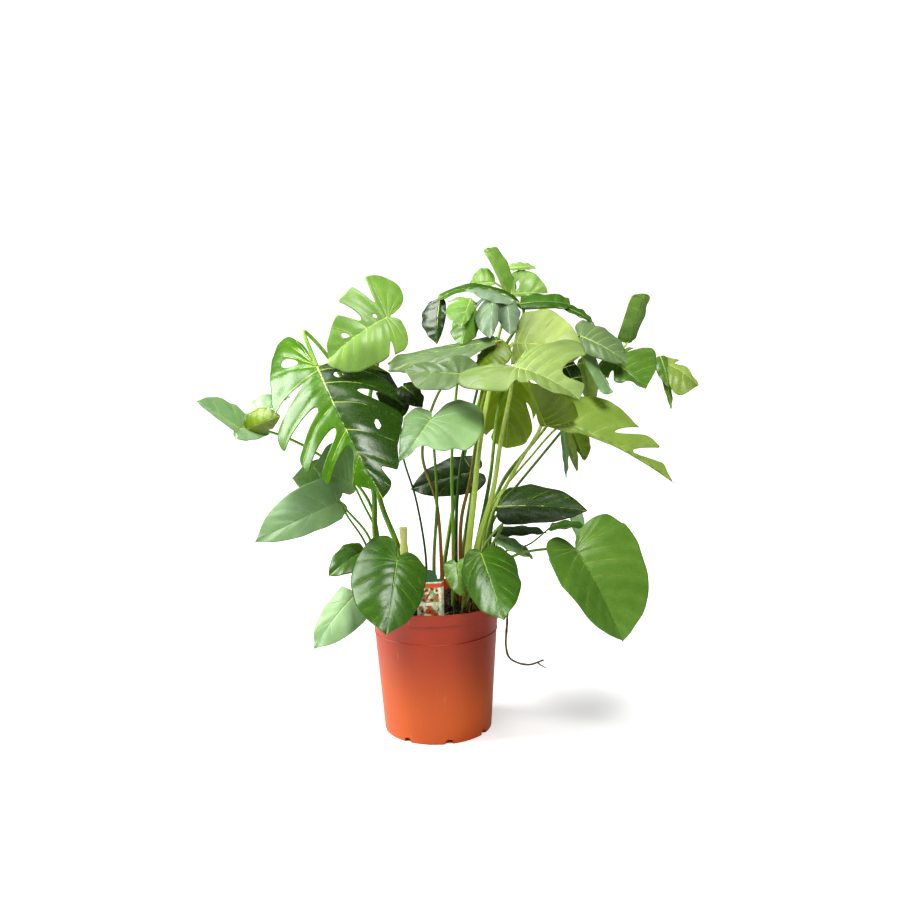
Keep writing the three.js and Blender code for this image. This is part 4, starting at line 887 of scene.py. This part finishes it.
# Veins of a blade: light lines along the side veins and the midrib, from the gaps stored at each point.
def buildVeinGroup():
    tree, start, end = newGroup(
        "leafVeins",
        [("Vein Width", "Float", 1.0), ("Rib Width", "Float", 2.0)],
        [("Veins", "Float"), ("Between", "Float")],
    )
    outward, gap, ribGap = (attribute(tree, name) for name in ("outward", "veinGap", "ribGap"))
    width = times(tree, start.outputs["Vein Width"], rampNode(tree, outward, 0.0, 1.0, 1.0, 0.3))
    line = rampNode(tree, mathNode(tree, "DIVIDE", gap, width), 0.5, 1.7, 1.0, 0.0)
    line = times(tree, line, rampNode(tree, outward, 0.75, 0.98, 1.0, 0.0))
    taper = rampNode(tree, attribute(tree, "around"), 0.1, 1.0, 1.0, 0.35)
    ribWidth = times(tree, start.outputs["Rib Width"], taper)
    rib = rampNode(tree, mathNode(tree, "DIVIDE", ribGap, ribWidth), 0.7, 1.8, 1.0, 0.0)
    put(end, "Veins", mathNode(tree, "MAXIMUM", line, rib))
    put(end, "Between", rampNode(tree, mathNode(tree, "MINIMUM", gap, ribGap), 0.0, 14.0))
    return tree


# Slow changes of colour, a fine net of small veins and specks, in object space.
def buildTissueGroup():
    tree, start, end = newGroup(
        "leafTissue",
        [("Colour", "Color", (0.1, 0.3, 0.05, 1)), ("Mottle", "Float", 0.2), ("Net Depth", "Float", 0.1),
         ("Net Scale", "Float", 200.0)],
        [("Colour", "Color"), ("Height", "Float"), ("Roughness Change", "Float")],
    )
    asked = start.outputs
    slow, quick = noiseNode(tree, 9.0, 2.0), noiseNode(tree, 60.0, 4.0)
    shift = mathNode(tree, "SUBTRACT", plus(tree, slow, times(tree, quick, 0.4)), 0.7)
    shift = times(tree, shift, asked["Mottle"])
    toned = addNode(tree, "ShaderNodeHueSaturation", {
        "Hue": plus(tree, 0.5, times(tree, shift, -0.12)), "Value": plus(tree, 1.0, times(tree, shift, 3.0)),
        "Color": asked["Colour"],
    }).outputs[0]
    cells = addNode(tree, "ShaderNodeTexVoronoi", {"Vector": objectPoint(tree), "Scale": asked["Net Scale"]},
                    feature="DISTANCE_TO_EDGE")
    net = times(tree, rampNode(tree, cells.outputs["Distance"], 0.0, 0.12, 1.0, 0.0), asked["Net Depth"])
    put(end, "Colour", mixColour(tree, net, toned, mixColour(tree, 0.35, toned, (1, 1, 0.7, 1))))
    put(end, "Height", mathNode(tree, "SUBTRACT", times(tree, quick, 0.6), times(tree, net, 3.0)))
    put(end, "Roughness Change", times(tree, mathNode(tree, "SUBTRACT", quick, 0.5), 0.25))
    return tree


# Wear and dust of moulded plastic: slow marbling, faint scuffs along the wall and a fine grain.
def buildPlasticGroup():
    tree, start, end = newGroup(
        "plasticWear",
        [("Colour", "Color", (0.5, 0.2, 0.1, 1)), ("Scuff", "Float", 0.3)],
        [("Colour", "Color"), ("Height", "Float"), ("Roughness Change", "Float")],
    )
    slow, point = noiseNode(tree, 5.0, 3.0), objectPoint(tree)
    scuffs = rampNode(tree, noiseNode(tree, 1.0, 6.0, 0.7, stretched(tree, point, (60, 60, 7))), 0.6, 0.72)
    scuffs = times(tree, scuffs, start.outputs["Scuff"])
    toned = addNode(tree, "ShaderNodeHueSaturation", {
        "Value": plus(tree, 0.86, times(tree, slow, 0.28)), "Color": start.outputs["Colour"],
    }).outputs[0]
    dusty = mixColour(tree, 0.5, toned, (0.62, 0.5, 0.42, 1))
    put(end, "Colour", mixColour(tree, scuffs, toned, dusty))
    put(end, "Height", plus(tree, times(tree, noiseNode(tree, 900.0, 2.0), 0.5), times(tree, scuffs, 0.6)))
    put(end, "Roughness Change", plus(tree, times(tree, scuffs, 0.5), times(tree, slow, 0.12)))
    return tree


veinGroup = buildVeinGroup()
tissueGroup = buildTissueGroup()
plasticGroup = buildPlasticGroup()
sweepTree = buildSweepTree()
grainTree = buildGrainTree()


def newMaterial(name):
    material = bpy.data.materials.new(name)
    material.use_nodes = True
    return material, material.node_tree, material.node_tree.nodes["Principled BSDF"]


def useGroup(tree, group, inputs):
    return addNode(tree, "ShaderNodeGroup", inputs, node_tree=group).outputs


def giveBump(tree, shader, height, strength, distance):
    values = {"Strength": strength, "Distance": distance, "Height": height}
    put(shader, "Normal", addNode(tree, "ShaderNodeBump", values).outputs["Normal"])


@functools.cache
def bladeMaterial(look, underSide):
    left, right, under, vein = (colour(code) for code in leafLooks[look][:4])
    gloss, lines, through = leafLooks[look][4:7]
    detail = leafDetail
    if underSide:
        left, right, gloss = under, under, gloss + detail["underRougher"]
    material, tree, shader = newMaterial(("leafUnder_" if underSide else "leafUpper_") + look)
    # Each half takes its own green: painted light on one half and painted shade on the other.
    base = mixColour(tree, rampNode(tree, attribute(tree, "half"), 0.3, 0.7), left, right)
    veins = useGroup(tree, veinGroup, {"Vein Width": detail["veinWidth"], "Rib Width": detail["ribWidth"]})
    deeper = mixColour(tree, 0.55, base, vein, "MULTIPLY")
    tissue = useGroup(tree, tissueGroup, {
        "Colour": mixColour(tree, times(tree, veins["Between"], detail["between"]), base, deeper),
        "Mottle": detail["mottle"], "Net Depth": detail["netDepth"], "Net Scale": detail["netScale"],
    })
    final = mixColour(tree, times(tree, veins["Veins"], lines), tissue["Colour"], vein)
    put(shader, "Base Color", final)
    put(shader, "Roughness", plus(tree, gloss, tissue["Roughness Change"]))
    put(shader, "Specular IOR Level", detail["underSpecular"] if underSide else detail["specular"])
    put(shader, "Coat Weight", 0 if underSide else detail["coat"])
    put(shader, "Coat Roughness", detail["coatRoughness"])
    giveBump(tree, shader, tissue["Height"], detail["bump"], detail["bumpDepth"])
    toned = addNode(tree, "ShaderNodeHueSaturation", {**detail["glow"], "Color": final}).outputs[0]
    glow = addNode(tree, "ShaderNodeBsdfTranslucent", {"Color": toned}).outputs[0]
    both = addNode(tree, "ShaderNodeMixShader", {0: through, 1: shader.outputs[0], 2: glow}).outputs[0]
    put(tree.nodes["Material Output"], "Surface", both)
    return material


@functools.cache
def stalkMaterial(look):
    low, high = (colour(code) for code in stalkLooks[look])
    detail = stalkDetail
    material, tree, shader = newMaterial("stalk_" + look)
    point = objectPoint(tree)
    height = splitNode(tree, point)["Z"]
    # Darker low down: painted shade inside the clump, besides the stalk's own brown and rust.
    base = mixColour(tree, rampNode(tree, height, *detail["green"]), low, high)
    streaks = noiseNode(tree, 1.0, 4.0, 0.5, stretched(tree, point, detail["streaks"]))
    base = mixColour(tree, rampNode(tree, streaks, 0.42, 0.62, 0.0, detail["streakShare"]), base, low)
    brown = times(tree, rampNode(tree, height, *detail["brown"]),
                  rampNode(tree, noiseNode(tree, 30.0, 3.0), 0.45, 0.62, 0.0, detail["brownShare"]))
    put(shader, "Base Color", mixColour(tree, brown, base, colour(detail["brownColour"])))
    put(shader, "Roughness", detail["rough"])
    giveBump(tree, shader, streaks, 0.3, 0.0008)
    return material


def grainyMaterial(name, low, high, grain, ramp, rough, bump):      # soil, bark and roots
    material, tree, shader = newMaterial(name)
    height = noiseNode(tree, *grain)
    put(shader, "Base Color", mixColour(tree, rampNode(tree, height, *ramp), colour(low), colour(high)))
    put(shader, "Roughness", rough)
    if name.startswith("soil"):
        height = plus(tree, height, times(tree, noiseNode(tree, 30.0, 3.0), 1.5))
    giveBump(tree, shader, height, *bump)
    return material


def soilMaterial(name, low, high):
    return grainyMaterial(name, low, high, (160.0, 6.0, 0.7), (0.4, 0.68), 0.9, (0.8, 0.002))


def woodyMaterial(name, low, high):
    return grainyMaterial(name, low, high, (140.0, 5.0, 0.7), (0.38, 0.66), 0.7, (0.6, 0.0015))


print("materials and trees are ready")

pot = {
    "height": 266, "baseRadius": 107, "rimRadius": 135, "wall": 2.6, "floor": 4, "bandHeight": 22.5,
    "bandStep": 4.5, "ridgeHeight": 203, "ridgeRadius": 121.4, "segments": 192,
    "shoulderStep": 4, "ridge": 1.4, "sharpAngle": 35,
    "notches": 8, "notchWidth": 15, "notchHeight": 9, "notchDepth": 20, "notchRound": 2, "notchStart": -79,
    # The wall turns from the foot colour to a deeper red towards the rim: painted shade of the leaves above.
    "footColour": "c2560e", "shadedRimColour": "a23204", "shadeFades": (0.04, 0.22), "rough": 0.36, "scuff": 0.25,
}
soil = {
    "top": 245, "clearance": 0.3, "segments": 120, "rings": 40, "dark": ("120e0b", "2c231b"),
    "grains": 104000,            # crumbs to the square metre
    "grainSize": 2.6,            # mm
    "seed": 4,
    "kinds": {                   # colours, then share of the crumbs, size and length beside theirs, and seed
        "bark": (("2a1c12", "5a4330"), 0.16, 1.2, 3.2, 7),
        "light": (("6d6558", "a79d8c"), 0.02, 0.6, 1.2, 11),
    },
}


def ribPaths(leaf, radius):      # the midrib and the side veins of one blade, with their radii
    middle = list(bladePoints(leaf, 0, np.linspace(0, 1, rib["points"]), 0.0))
    middle += list(bladePoints(leaf, 0, np.ones(5), np.linspace(0, 0.96, 5)))[1:]
    kept = middle[:1]
    for p in middle:
        if np.linalg.norm(p - kept[-1]) > rib["gap"]:
            kept.append(p)
    up = bladeAxes(leaf)[3]
    radii = radius * np.linspace(1, rib["taper"], len(kept)) ** 0.8
    paths = [([p - up * r * rib["sink"] for p, r in zip(kept, radii)], radii)]
    out = np.linspace(0, rib["veinEnd"], rib["veinPoints"])
    size = radius * rib["veinRadius"] * (1 - 0.8 * out)
    for half in (0, 1):
        for place in veinPlaces(leaf, half):
            points = bladePoints(leaf, half, np.full_like(out, place), out)
            paths.append((points - up * (size[:, None] * rib["veinSink"] + 0.1), size))
    return paths


def stalkPath(leaf):             # from the soil to the base of the blade, with its radii
    foot, top = leaf["radius"]
    (footX, footY), *rest = leaf["stalk"]
    base = leaf["base"]
    upper = [(footX, footY, soil["top"] + stalk["straight"])] + rest + [base, bladePoints(leaf, 0, 0.62, 0.0)]
    path = [np.array((footX, footY, soil["top"] - stalk["sunk"]))] + smoothPath(upper, stalk["step"])
    nearBase = min(range(len(path)), key=lambda i: np.linalg.norm(path[i] - np.array(base)))
    path = path[:nearBase + 1]
    share = np.linspace(0, 1, len(path))
    thicker = stalk["knee"] * np.exp(-((share - stalk["kneeAt"]) / stalk["kneeLength"]) ** 2)
    thicker += stalk["sheath"] * np.exp(-share / stalk["sheathLength"])
    return path, (foot + (top - foot) * share) * (1 + thicker)


def makeLeaf(name, leaf):
    look, top = leaf["look"], leaf["radius"][1]
    lobes = [leaf, *leaf.get("straps", ())]
    sheet = bladeMesh(name + "Sheet", lobes)
    for underSide in (False, True):
        for part in lobes:
            sheet.materials.append(bladeMaterial(part["look"], underSide))
    values = {"thickness": blade["thickness"] * mm, "offset": 0, "material_offset": len(lobes)}
    sheet = shaped(name + "Sheet", sheet, ("SOLIDIFY", values))
    smooth(sheet)
    ribs = ribPaths(leaf, top * rib["ofStalk"])
    for part in lobes[1:]:
        ribs += ribPaths(part, top * rib["ofStrap"])
        start = bladePoints(part, 0, 0.0, 0.0)
        line = bladePoints(leaf, 0, np.linspace(0, 1, 11), 0.0)
        near = line[np.argmin(np.linalg.norm(line - start, axis=1))]
        if np.linalg.norm(near - start) > rib["gap"]:
            ribs.append(([near, (near + start) / 2, start], np.full(3, rib["link"])))
    stem = stalkMaterial(leaf.get("stalkLook", leafLooks[look][7]))
    stem = sweptMesh(name + "Stalk", [stalkPath(leaf)], stalk["sides"], stem)
    veins = stalkMaterial("withered" if look == "withered" else "light")
    veins = sweptMesh(name + "Veins", ribs, rib["sides"], veins)
    addPiece(name + "_fine", joined(name + "Fine", (sheet, stem, veins)), slotOf[name], name)


slotOf = {part["node"]: part["material_slot"] for part in frame["record"]["subparts"]}
for name, leaf in leaves.items():
    makeLeaf(name, leaf)
print("leaves are made")


def rounded(profile):            # a profile of (radius, height, rounding) with its corners rounded
    points = []
    for i, (r, z, size) in enumerate(profile):
        here = Vector((r, z))
        if not size:
            points.append(here)
            continue
        back = Vector(profile[i - 1][:2]) - here
        on = Vector(profile[(i + 1) % len(profile)][:2]) - here
        size = min(size, back.length * 0.45, on.length * 0.45)
        a, b = here + back.normalized() * size, here + on.normalized() * size
        for t in np.linspace(0, 1, 5):
            points.append(a * (1 - t) ** 2 + here * 2 * t * (1 - t) + b * t ** 2)
    return points


def turned(name, profile, segments, lift=None):      # a profile turned round the upright axis
    made = bmesh.new()
    rings = []
    for r, z in profile:
        ring = []
        for i in range(segments if r else 1):
            angle = 2 * math.pi * i / segments
            x, y = r * math.cos(angle), r * math.sin(angle)
            up = lift(x, y, z) if lift and r else 0
            ring.append(made.verts.new((x * mm, y * mm, (z + up) * mm)))
        rings.append(ring)
    for low, high in zip(rings, rings[1:]):
        for i in range(segments):
            j = (i + 1) % segments
            corners = (low[i % len(low)], low[j % len(low)], high[j % len(high)], high[i % len(high)])
            unique = list(dict.fromkeys(corners))
            if len(unique) > 2:
                made.faces.new(unique)
    bmesh.ops.recalc_face_normals(made, faces=made.faces)
    mesh = bpy.data.meshes.new(name)
    made.to_mesh(mesh)
    made.free()
    return mesh


def wallRadius(z):
    return pot["baseRadius"] + (pot["ridgeRadius"] - pot["baseRadius"]) * z / pot["ridgeHeight"]


def potMaterial():
    material, tree, shader = newMaterial("potPlastic")
    # Darker towards the rim: painted shade of the leaves that hang over the pot.
    shadeTowardsRim = rampNode(tree, splitNode(tree, objectPoint(tree))["Z"], *pot["shadeFades"])
    base = mixColour(tree, shadeTowardsRim, colour(pot["footColour"]), colour(pot["shadedRimColour"]))
    wear = useGroup(tree, plasticGroup, {"Colour": base, "Scuff": pot["scuff"]})
    put(shader, "Base Color", wear["Colour"])
    put(shader, "Roughness", plus(tree, pot["rough"], wear["Roughness Change"]))
    giveBump(tree, shader, wear["Height"], 0.12, 0.0004)
    return material


bandFoot = pot["height"] - pot["bandHeight"]
bandRadius = pot["rimRadius"] - pot["bandStep"]
shoulderRadius = bandRadius - pot["shoulderStep"]


def makePot():
    ridge, wall, height, rim = pot["ridgeHeight"], pot["wall"], pot["height"], pot["rimRadius"]
    floorAt = pot["floor"]
    profile = [
        (0, 0, 0), (pot["baseRadius"], 0, 2), (wallRadius(ridge - 2), ridge - 2, 0.8),
        (pot["ridgeRadius"] + pot["ridge"], ridge, 0.7), (wallRadius(ridge + 2), ridge + 2, 0.8),
        (shoulderRadius, bandFoot, 2), (bandRadius, bandFoot, 1.2), (bandRadius + 1.2, bandFoot + 8, 3),
        (rim - 1, height - 3.4, 0.8), (rim, height - 2.4, 0.6), (rim, height, 1), (rim - wall, height, 1),
        (bandRadius - wall, bandFoot + 2, 2), (shoulderRadius - wall, bandFoot - 2, 2),
        (wallRadius(ridge) - wall, ridge, 0), (wallRadius(floorAt) - wall, floorAt, 2), (0, floorAt, 0),
    ]
    mesh = turned("potWall", rounded(profile), pot["segments"])
    mesh.materials.append(potMaterial())
    cutter = bmesh.new()
    size = Matrix.Diagonal((pot["notchDepth"] * mm, pot["notchWidth"] * mm, 2 * pot["notchHeight"] * mm, 1))
    for i in range(pot["notches"]):
        angle = math.radians(pot["notchStart"] + 360 * i / pot["notches"])
        place = Matrix.Rotation(angle, 4, "Z") @ Matrix.Translation(((pot["baseRadius"] + 2) * mm, 0, 0))
        box = bmesh.ops.create_cube(cutter, size=1, matrix=place @ size)
        edges = {e for v in box["verts"] for e in v.link_edges}
        bevel = {"offset": pot["notchRound"] * mm, "segments": 2, "affect": "EDGES"}
        bmesh.ops.bevel(cutter, geom=list(edges), **bevel)
    cutMesh = bpy.data.meshes.new("notchCutter")
    cutter.to_mesh(cutMesh)
    cutter.free()
    cutObject = bpy.data.objects.new("notchCutter", cutMesh)
    scene.collection.objects.link(cutObject)
    values = {"object": cutObject, "operation": "DIFFERENCE", "solver": "EXACT"}
    mesh = shaped("potWall", mesh, ("BOOLEAN", values))
    bpy.data.objects.remove(cutObject)
    smooth(mesh)
    mesh.set_sharp_from_angle(angle=math.radians(pot["sharpAngle"]))
    addPiece("pot_fine", mesh, "pot", "pot")


makePot()
print("pot is made")


def soilHeight(x, y, z):         # uneven on top only
    if z < soil["top"] - 1:
        return 0
    rough = 3 * (math.sin(x * 0.11 + 1) * math.cos(y * 0.13) + 0.5 * math.sin(x * 0.23 - y * 0.19 + 2))
    return rough + noise.noise(Vector((x, y, 0)) * 0.12) * 2.4 + noise.noise(Vector((x, y, 5)) * 0.35) * 1.5


def makeSoil():
    inside = pot["wall"] + soil["clearance"]
    edge, top, rings = shoulderRadius - inside, soil["top"], soil["rings"]
    foot = pot["floor"] + soil["clearance"]
    low, deep = wallRadius(pot["floor"]) - inside, wallRadius(pot["ridgeHeight"]) - inside
    profile = [(0, foot), (low - 8, foot), (low, pot["notchHeight"] + 8), (deep, pot["ridgeHeight"]),
               (edge, bandFoot - 2), (edge + 0.5, top - 3)]
    profile += [((edge - 1) * (1 - i / rings), top) for i in range(rings + 1)]
    mesh = turned("soilBody", profile, soil["segments"], soilHeight)
    dark = soilMaterial("soilDark", *soil["dark"])
    mesh.materials.append(dark)
    smooth(mesh)
    kinds = [("crumbs", dark, 1, 1, 1.3, 0)]
    for label, (colours, *values) in soil["kinds"].items():
        kinds.append((label, soilMaterial("soil" + label.capitalize(), *colours), *values))
    parts = [mesh]
    for label, material, share, size, stretch, seed in kinds:
        inputs = {
            "Grains": soil["grains"] * share, "Size": soil["grainSize"] * size * mm, "Stretch": stretch,
            "Seed": soil["seed"] + seed, "Lowest": (top - 8) * mm, "Material": material,
        }
        parts.append(shaped(label, mesh.copy(), ("NODES", {"node_group": grainTree, "inputs": inputs})))
    addPiece("soil_fine", joined("soilFine", parts), "soil", "soil")


makeSoil()
print("soil is made")

roots = {
    "aerial": [
        (106, -42, 211.3), (106, -42, 252), (112, -46, 270), (126, -54, 279), (139, -59, 268),
        (139, -60, 230), (136, -58, 180), (141, -60, 157), (154, -62, 147), (180, -66, 142), (208, -70, 152),
    ],
    "fork": [(196, -68, 146.5), (204, -71, 141), (213, -74, 137)],
    "aerialRadius": (2.6, 1.7), "forkRadius": (1.5, 0.8), "knots": 0.14, "bark": ("38220f", "7a5a34"),
    "surface": [                 # thin roots that lie on the soil
        [(30, -96, 246), (38, -88, 252), (52, -92, 251), (66, -86, 250), (80, -90, 245)],
        [(10, -60, 245), (28, -66, 251), (46, -58, 250), (62, -64, 244)],
        [(-30, -92, 245), (-12, -98, 250), (6, -92, 249), (20, -97, 244)],
    ],
    "surfaceRadius": 1.3, "wobble": 2.0, "wobbles": 0.09, "seed": 4, "grey": ("5f5142", "9c8c72"),
}
stub = {
    "path": [(-56, -60, 211.3), (-56, -60, 253), (-57, -61, 421)], "radius": 7, "sides": 20,
    "ring": 1.6, "ringAt": 0.8, "ringLength": 0.03, "lip": 1.2, "lipLength": 0.06,
}


def makeRoots():
    paths = []
    for name in ("aerial", "fork"):
        path, (thick, thin) = smoothPath(roots[name], 3), roots[name + "Radius"]
        share = np.linspace(0, 1, len(path))
        knots = 1 + roots["knots"] * np.sin(share * 60) * np.sin(share * 23 + 1)
        paths.append((path, (thick + (thin - thick) * share) * knots))
    mesh = sweptMesh("rootSweep", paths, 10, woodyMaterial("rootBark", *roots["bark"]))
    addPiece("root_aerial_fine", mesh, "root", "root_aerial")
    paths = []
    noise.seed_set(roots["seed"])
    for points in roots["surface"]:
        path = []
        for p in smoothPath(points, 4):
            path.append(p + roots["wobble"] * np.array(noise.noise_vector(Vector(p) * roots["wobbles"])))
        paths.append((path, np.full(len(path), roots["surfaceRadius"])))
    mesh = sweptMesh("surfaceRoots", paths, 8, woodyMaterial("rootGrey", *roots["grey"]))
    addPiece("surface_roots", mesh, "root")


def makeStub():
    path = smoothPath(stub["path"], 5)
    share = np.linspace(0, 1, len(path))
    radii = stub["radius"] + stub["ring"] * np.exp(-((share - stub["ringAt"]) / stub["ringLength"]) ** 2)
    radii += stub["lip"] * np.exp(-((share - 1) / stub["lipLength"]) ** 2)
    mesh = sweptMesh("stubSweep", [(path, radii)], stub["sides"], stalkMaterial("cut"))
    addPiece("stem_cut_stub_fine", mesh, "stub", "stem_cut_stub")


makeRoots()
makeStub()
print("roots and stub are made")

card = {
    "width": 46, "side": 12, "foot": 228, "shoulder": 330, "head": 34, "rise": 19, "thick": 0.9, "edge": 0.25,
    "fold": 62, "turn": 4, "place": (12, -108, 0),
    "pale": ("e6e6d2", "b9cf9c"), "green": ("7c9c5c", "d4d8b4"), "red": "b8583a", "darkRed": "7c2c20",
    "band": "c8512e", "top": "2f5a34",
    "margin": (0.07, 0.9), "panels": ((0.56, 0.9), (0.06, 0.5)), "bandAt": (0.84, 0.92), "topFrom": 0.95,
}


def labelMaterial():
    material, tree, shader = newMaterial("labelPrint")
    place = addNode(tree, "ShaderNodeUVMap", uv_map="label").outputs[0]
    square = stretched(tree, place, (0.5, 1.0, 1.0))
    x, z = splitNode(tree, place)[:2]

    def patches(scale, low, high, first, second):      # some cells of a mosaic, between two colours
        cells = addNode(tree, "ShaderNodeTexVoronoi", {"Vector": square, "Scale": scale}).outputs["Color"]
        pick = addNode(tree, "ShaderNodeSeparateColor", {"Color": cells}).outputs[0]
        return mixColour(tree, rampNode(tree, pick, low, high), first, second)

    def between(value, low, high):
        above = mathNode(tree, "GREATER_THAN", value, low)
        return times(tree, above, mathNode(tree, "LESS_THAN", value, high))

    plain = patches(24.0, 0.55, 0.6, *(colour(code) for code in card["pale"]))
    printed = patches(15.0, 0.5, 0.54, *(colour(code) for code in card["green"]))
    printed = patches(12.0, 0.6, 0.63, printed, colour(card["red"]))
    printed = patches(19.0, 0.84, 0.86, printed, colour(card["darkRed"]))
    upper, lower = (between(z, *panel) for panel in card["panels"])
    inside = times(tree, plus(tree, upper, lower), between(x, *card["margin"]))
    final = mixColour(tree, inside, plain, printed)
    final = mixColour(tree, between(z, *card["bandAt"]), final, colour(card["band"]))
    final = mixColour(tree, mathNode(tree, "GREATER_THAN", z, card["topFrom"]), final, colour(card["top"]))
    put(shader, "Base Color", final)
    put(shader, "Roughness", plus(tree, 0.25, times(tree, noiseNode(tree, 300.0, 2.0), 0.15)))
    return material


def makeLabel():
    width, foot, shoulder = card["width"], card["foot"], card["shoulder"]
    outline = [(-width, foot), (0, foot), (0, shoulder)]
    for angle in np.linspace(0, math.pi, 25):
        x, z = card["head"] / 2 * math.cos(angle), card["rise"] * math.sin(angle)
        outline.append((x - width / 2, shoulder + z))
    outline.append((-width, shoulder))
    made = bmesh.new()
    uv = made.loops.layers.uv.new("label")
    front = [made.verts.new((x * mm, 0, z * mm)) for x, z in outline]
    slant = math.radians(card["fold"])
    sideX, sideY = card["side"] * math.cos(slant) * mm, card["side"] * math.sin(slant) * mm
    low, high = (made.verts.new((sideX, sideY, z * mm)) for z in (foot, shoulder))
    for corners in (front, (front[1], low, high, front[2])):
        for loop in made.faces.new(corners).loops:
            x, y, z = loop.vert.co / mm
            across = x if x <= 0 else math.hypot(x, y)
            loop[uv].uv = ((across + width) / width, (z - foot) / (shoulder - foot))
    mesh = bpy.data.meshes.new("labelCard")
    made.to_mesh(mesh)
    made.free()
    mesh.materials.append(labelMaterial())
    turn = Matrix.Rotation(math.radians(card["turn"]), 4, "Z")
    mesh.transform(Matrix.Translation(Vector(card["place"]) * mm) @ turn)
    thick = {"thickness": card["thick"] * mm, "offset": 0}
    edges = {"width": card["edge"] * mm, "segments": 2}
    addPiece("plant_label_fine", shaped("labelCard", mesh, ("SOLIDIFY", thick), ("BEVEL", edges)), "label",
             "plant_label")


makeLabel()
print("label is made")

# Camera: where the photograph was taken from.
view = {"place": (0.012, -2.166, 0.880), "down": 8.42, "right": 0.66, "roll": -0.02496, "lens": 44.86}
light = {
    "aim": (0, 0, 0.55),
    "world": 0.1,
    "key": {"place": (-2.1, 0.1, 1.8), "power": 108, "size": 1.7},
    "fill": {"place": (0.4, -1.7, 2.5), "power": 56, "size": 0.9},
    "top": {"place": (-0.6, -0.1, 2.8), "power": 16, "size": 0.9},
}
floor = {"size": 40, "tones": (0.74, 0.77), "rough": 0.6, "glow": (0.36, 1.0), "glowFrom": 0.5, "glowTo": 2.2}


def makeCamera():
    down, right, roll = math.radians(view["down"]), math.radians(view["right"]), view["roll"]
    forward = Vector((math.sin(right) * math.cos(down), math.cos(right) * math.cos(down), -math.sin(down)))
    side = Vector((math.cos(right), -math.sin(right), 0))
    up = side.cross(forward)
    side, up = math.cos(roll) * side + math.sin(roll) * up, -math.sin(roll) * side + math.cos(roll) * up
    data = bpy.data.cameras.new("photoCamera")
    data.lens = view["lens"]
    data.sensor_width = 36
    camera = bpy.data.objects.new("photoCamera", data)
    turn = Matrix((side, up, -forward)).transposed().to_4x4()
    camera.matrix_world = Matrix.Translation(view["place"]) @ turn
    scene.collection.objects.link(camera)
    scene.camera = camera


def makeLights():
    world = bpy.data.worlds.new("studio")
    world.use_nodes = True
    tree = world.node_tree
    soft = tree.nodes["Background"]
    put(soft, "Strength", light["world"])
    put(soft, "Color", (1, 1, 1, 1))
    seen = addNode(tree, "ShaderNodeBackground", {0: (1, 1, 1, 1), 1: 1.0}).outputs[0]
    camera = tree.nodes.new("ShaderNodeLightPath").outputs["Is Camera Ray"]
    both = addNode(tree, "ShaderNodeMixShader", {0: camera, 1: soft.outputs[0], 2: seen}).outputs[0]
    put(tree.nodes["World Output"], "Surface", both)
    scene.world = world
    for name in ("key", "fill", "top"):
        values = light[name]
        data = bpy.data.lights.new(name, "AREA")
        data.energy = values["power"]
        data.size = values["size"]
        lamp = bpy.data.objects.new(name, data)
        lamp.location = values["place"]
        aim = Vector(light["aim"]) - Vector(values["place"])
        lamp.rotation_mode = "QUATERNION"
        lamp.rotation_quaternion = aim.to_track_quat("-Z", "Y")
        scene.collection.objects.link(lamp)


def makeFloor():                 # paler far away, so that it runs into the background without an edge
    size = floor["size"]
    mesh = bpy.data.meshes.new("floor")
    corners = [(-size, -size, 0), (size, -size, 0), (size, size, 0), (-size, size, 0)]
    mesh.from_pydata(corners, [], [(0, 1, 2, 3)])
    material, tree, shader = newMaterial("floorPaint")
    low, high = ((tone, tone, tone, 1) for tone in floor["tones"])
    put(shader, "Base Color", mixColour(tree, rampNode(tree, noiseNode(tree, 3.0), 0.3, 0.7), low, high))
    put(shader, "Roughness", floor["rough"])
    put(shader, "Emission Color", (1, 1, 1, 1))
    away = addNode(tree, "ShaderNodeVectorMath", {0: objectPoint(tree)}, operation="LENGTH").outputs["Value"]
    glow = rampNode(tree, away, floor["glowFrom"], floor["glowTo"], *floor["glow"])
    seen = tree.nodes.new("ShaderNodeLightPath").outputs["Is Camera Ray"]
    put(shader, "Emission Strength", times(tree, glow, seen))
    mesh.materials.append(material)
    stage = bpy.data.objects.new("floor", mesh)
    scene.collection.objects.link(stage)


makeCamera()
makeLights()
makeFloor()
scene.view_settings.view_transform = "Standard"
scene.view_settings.look = "Medium High Contrast"
print("camera, lights and floor are set")
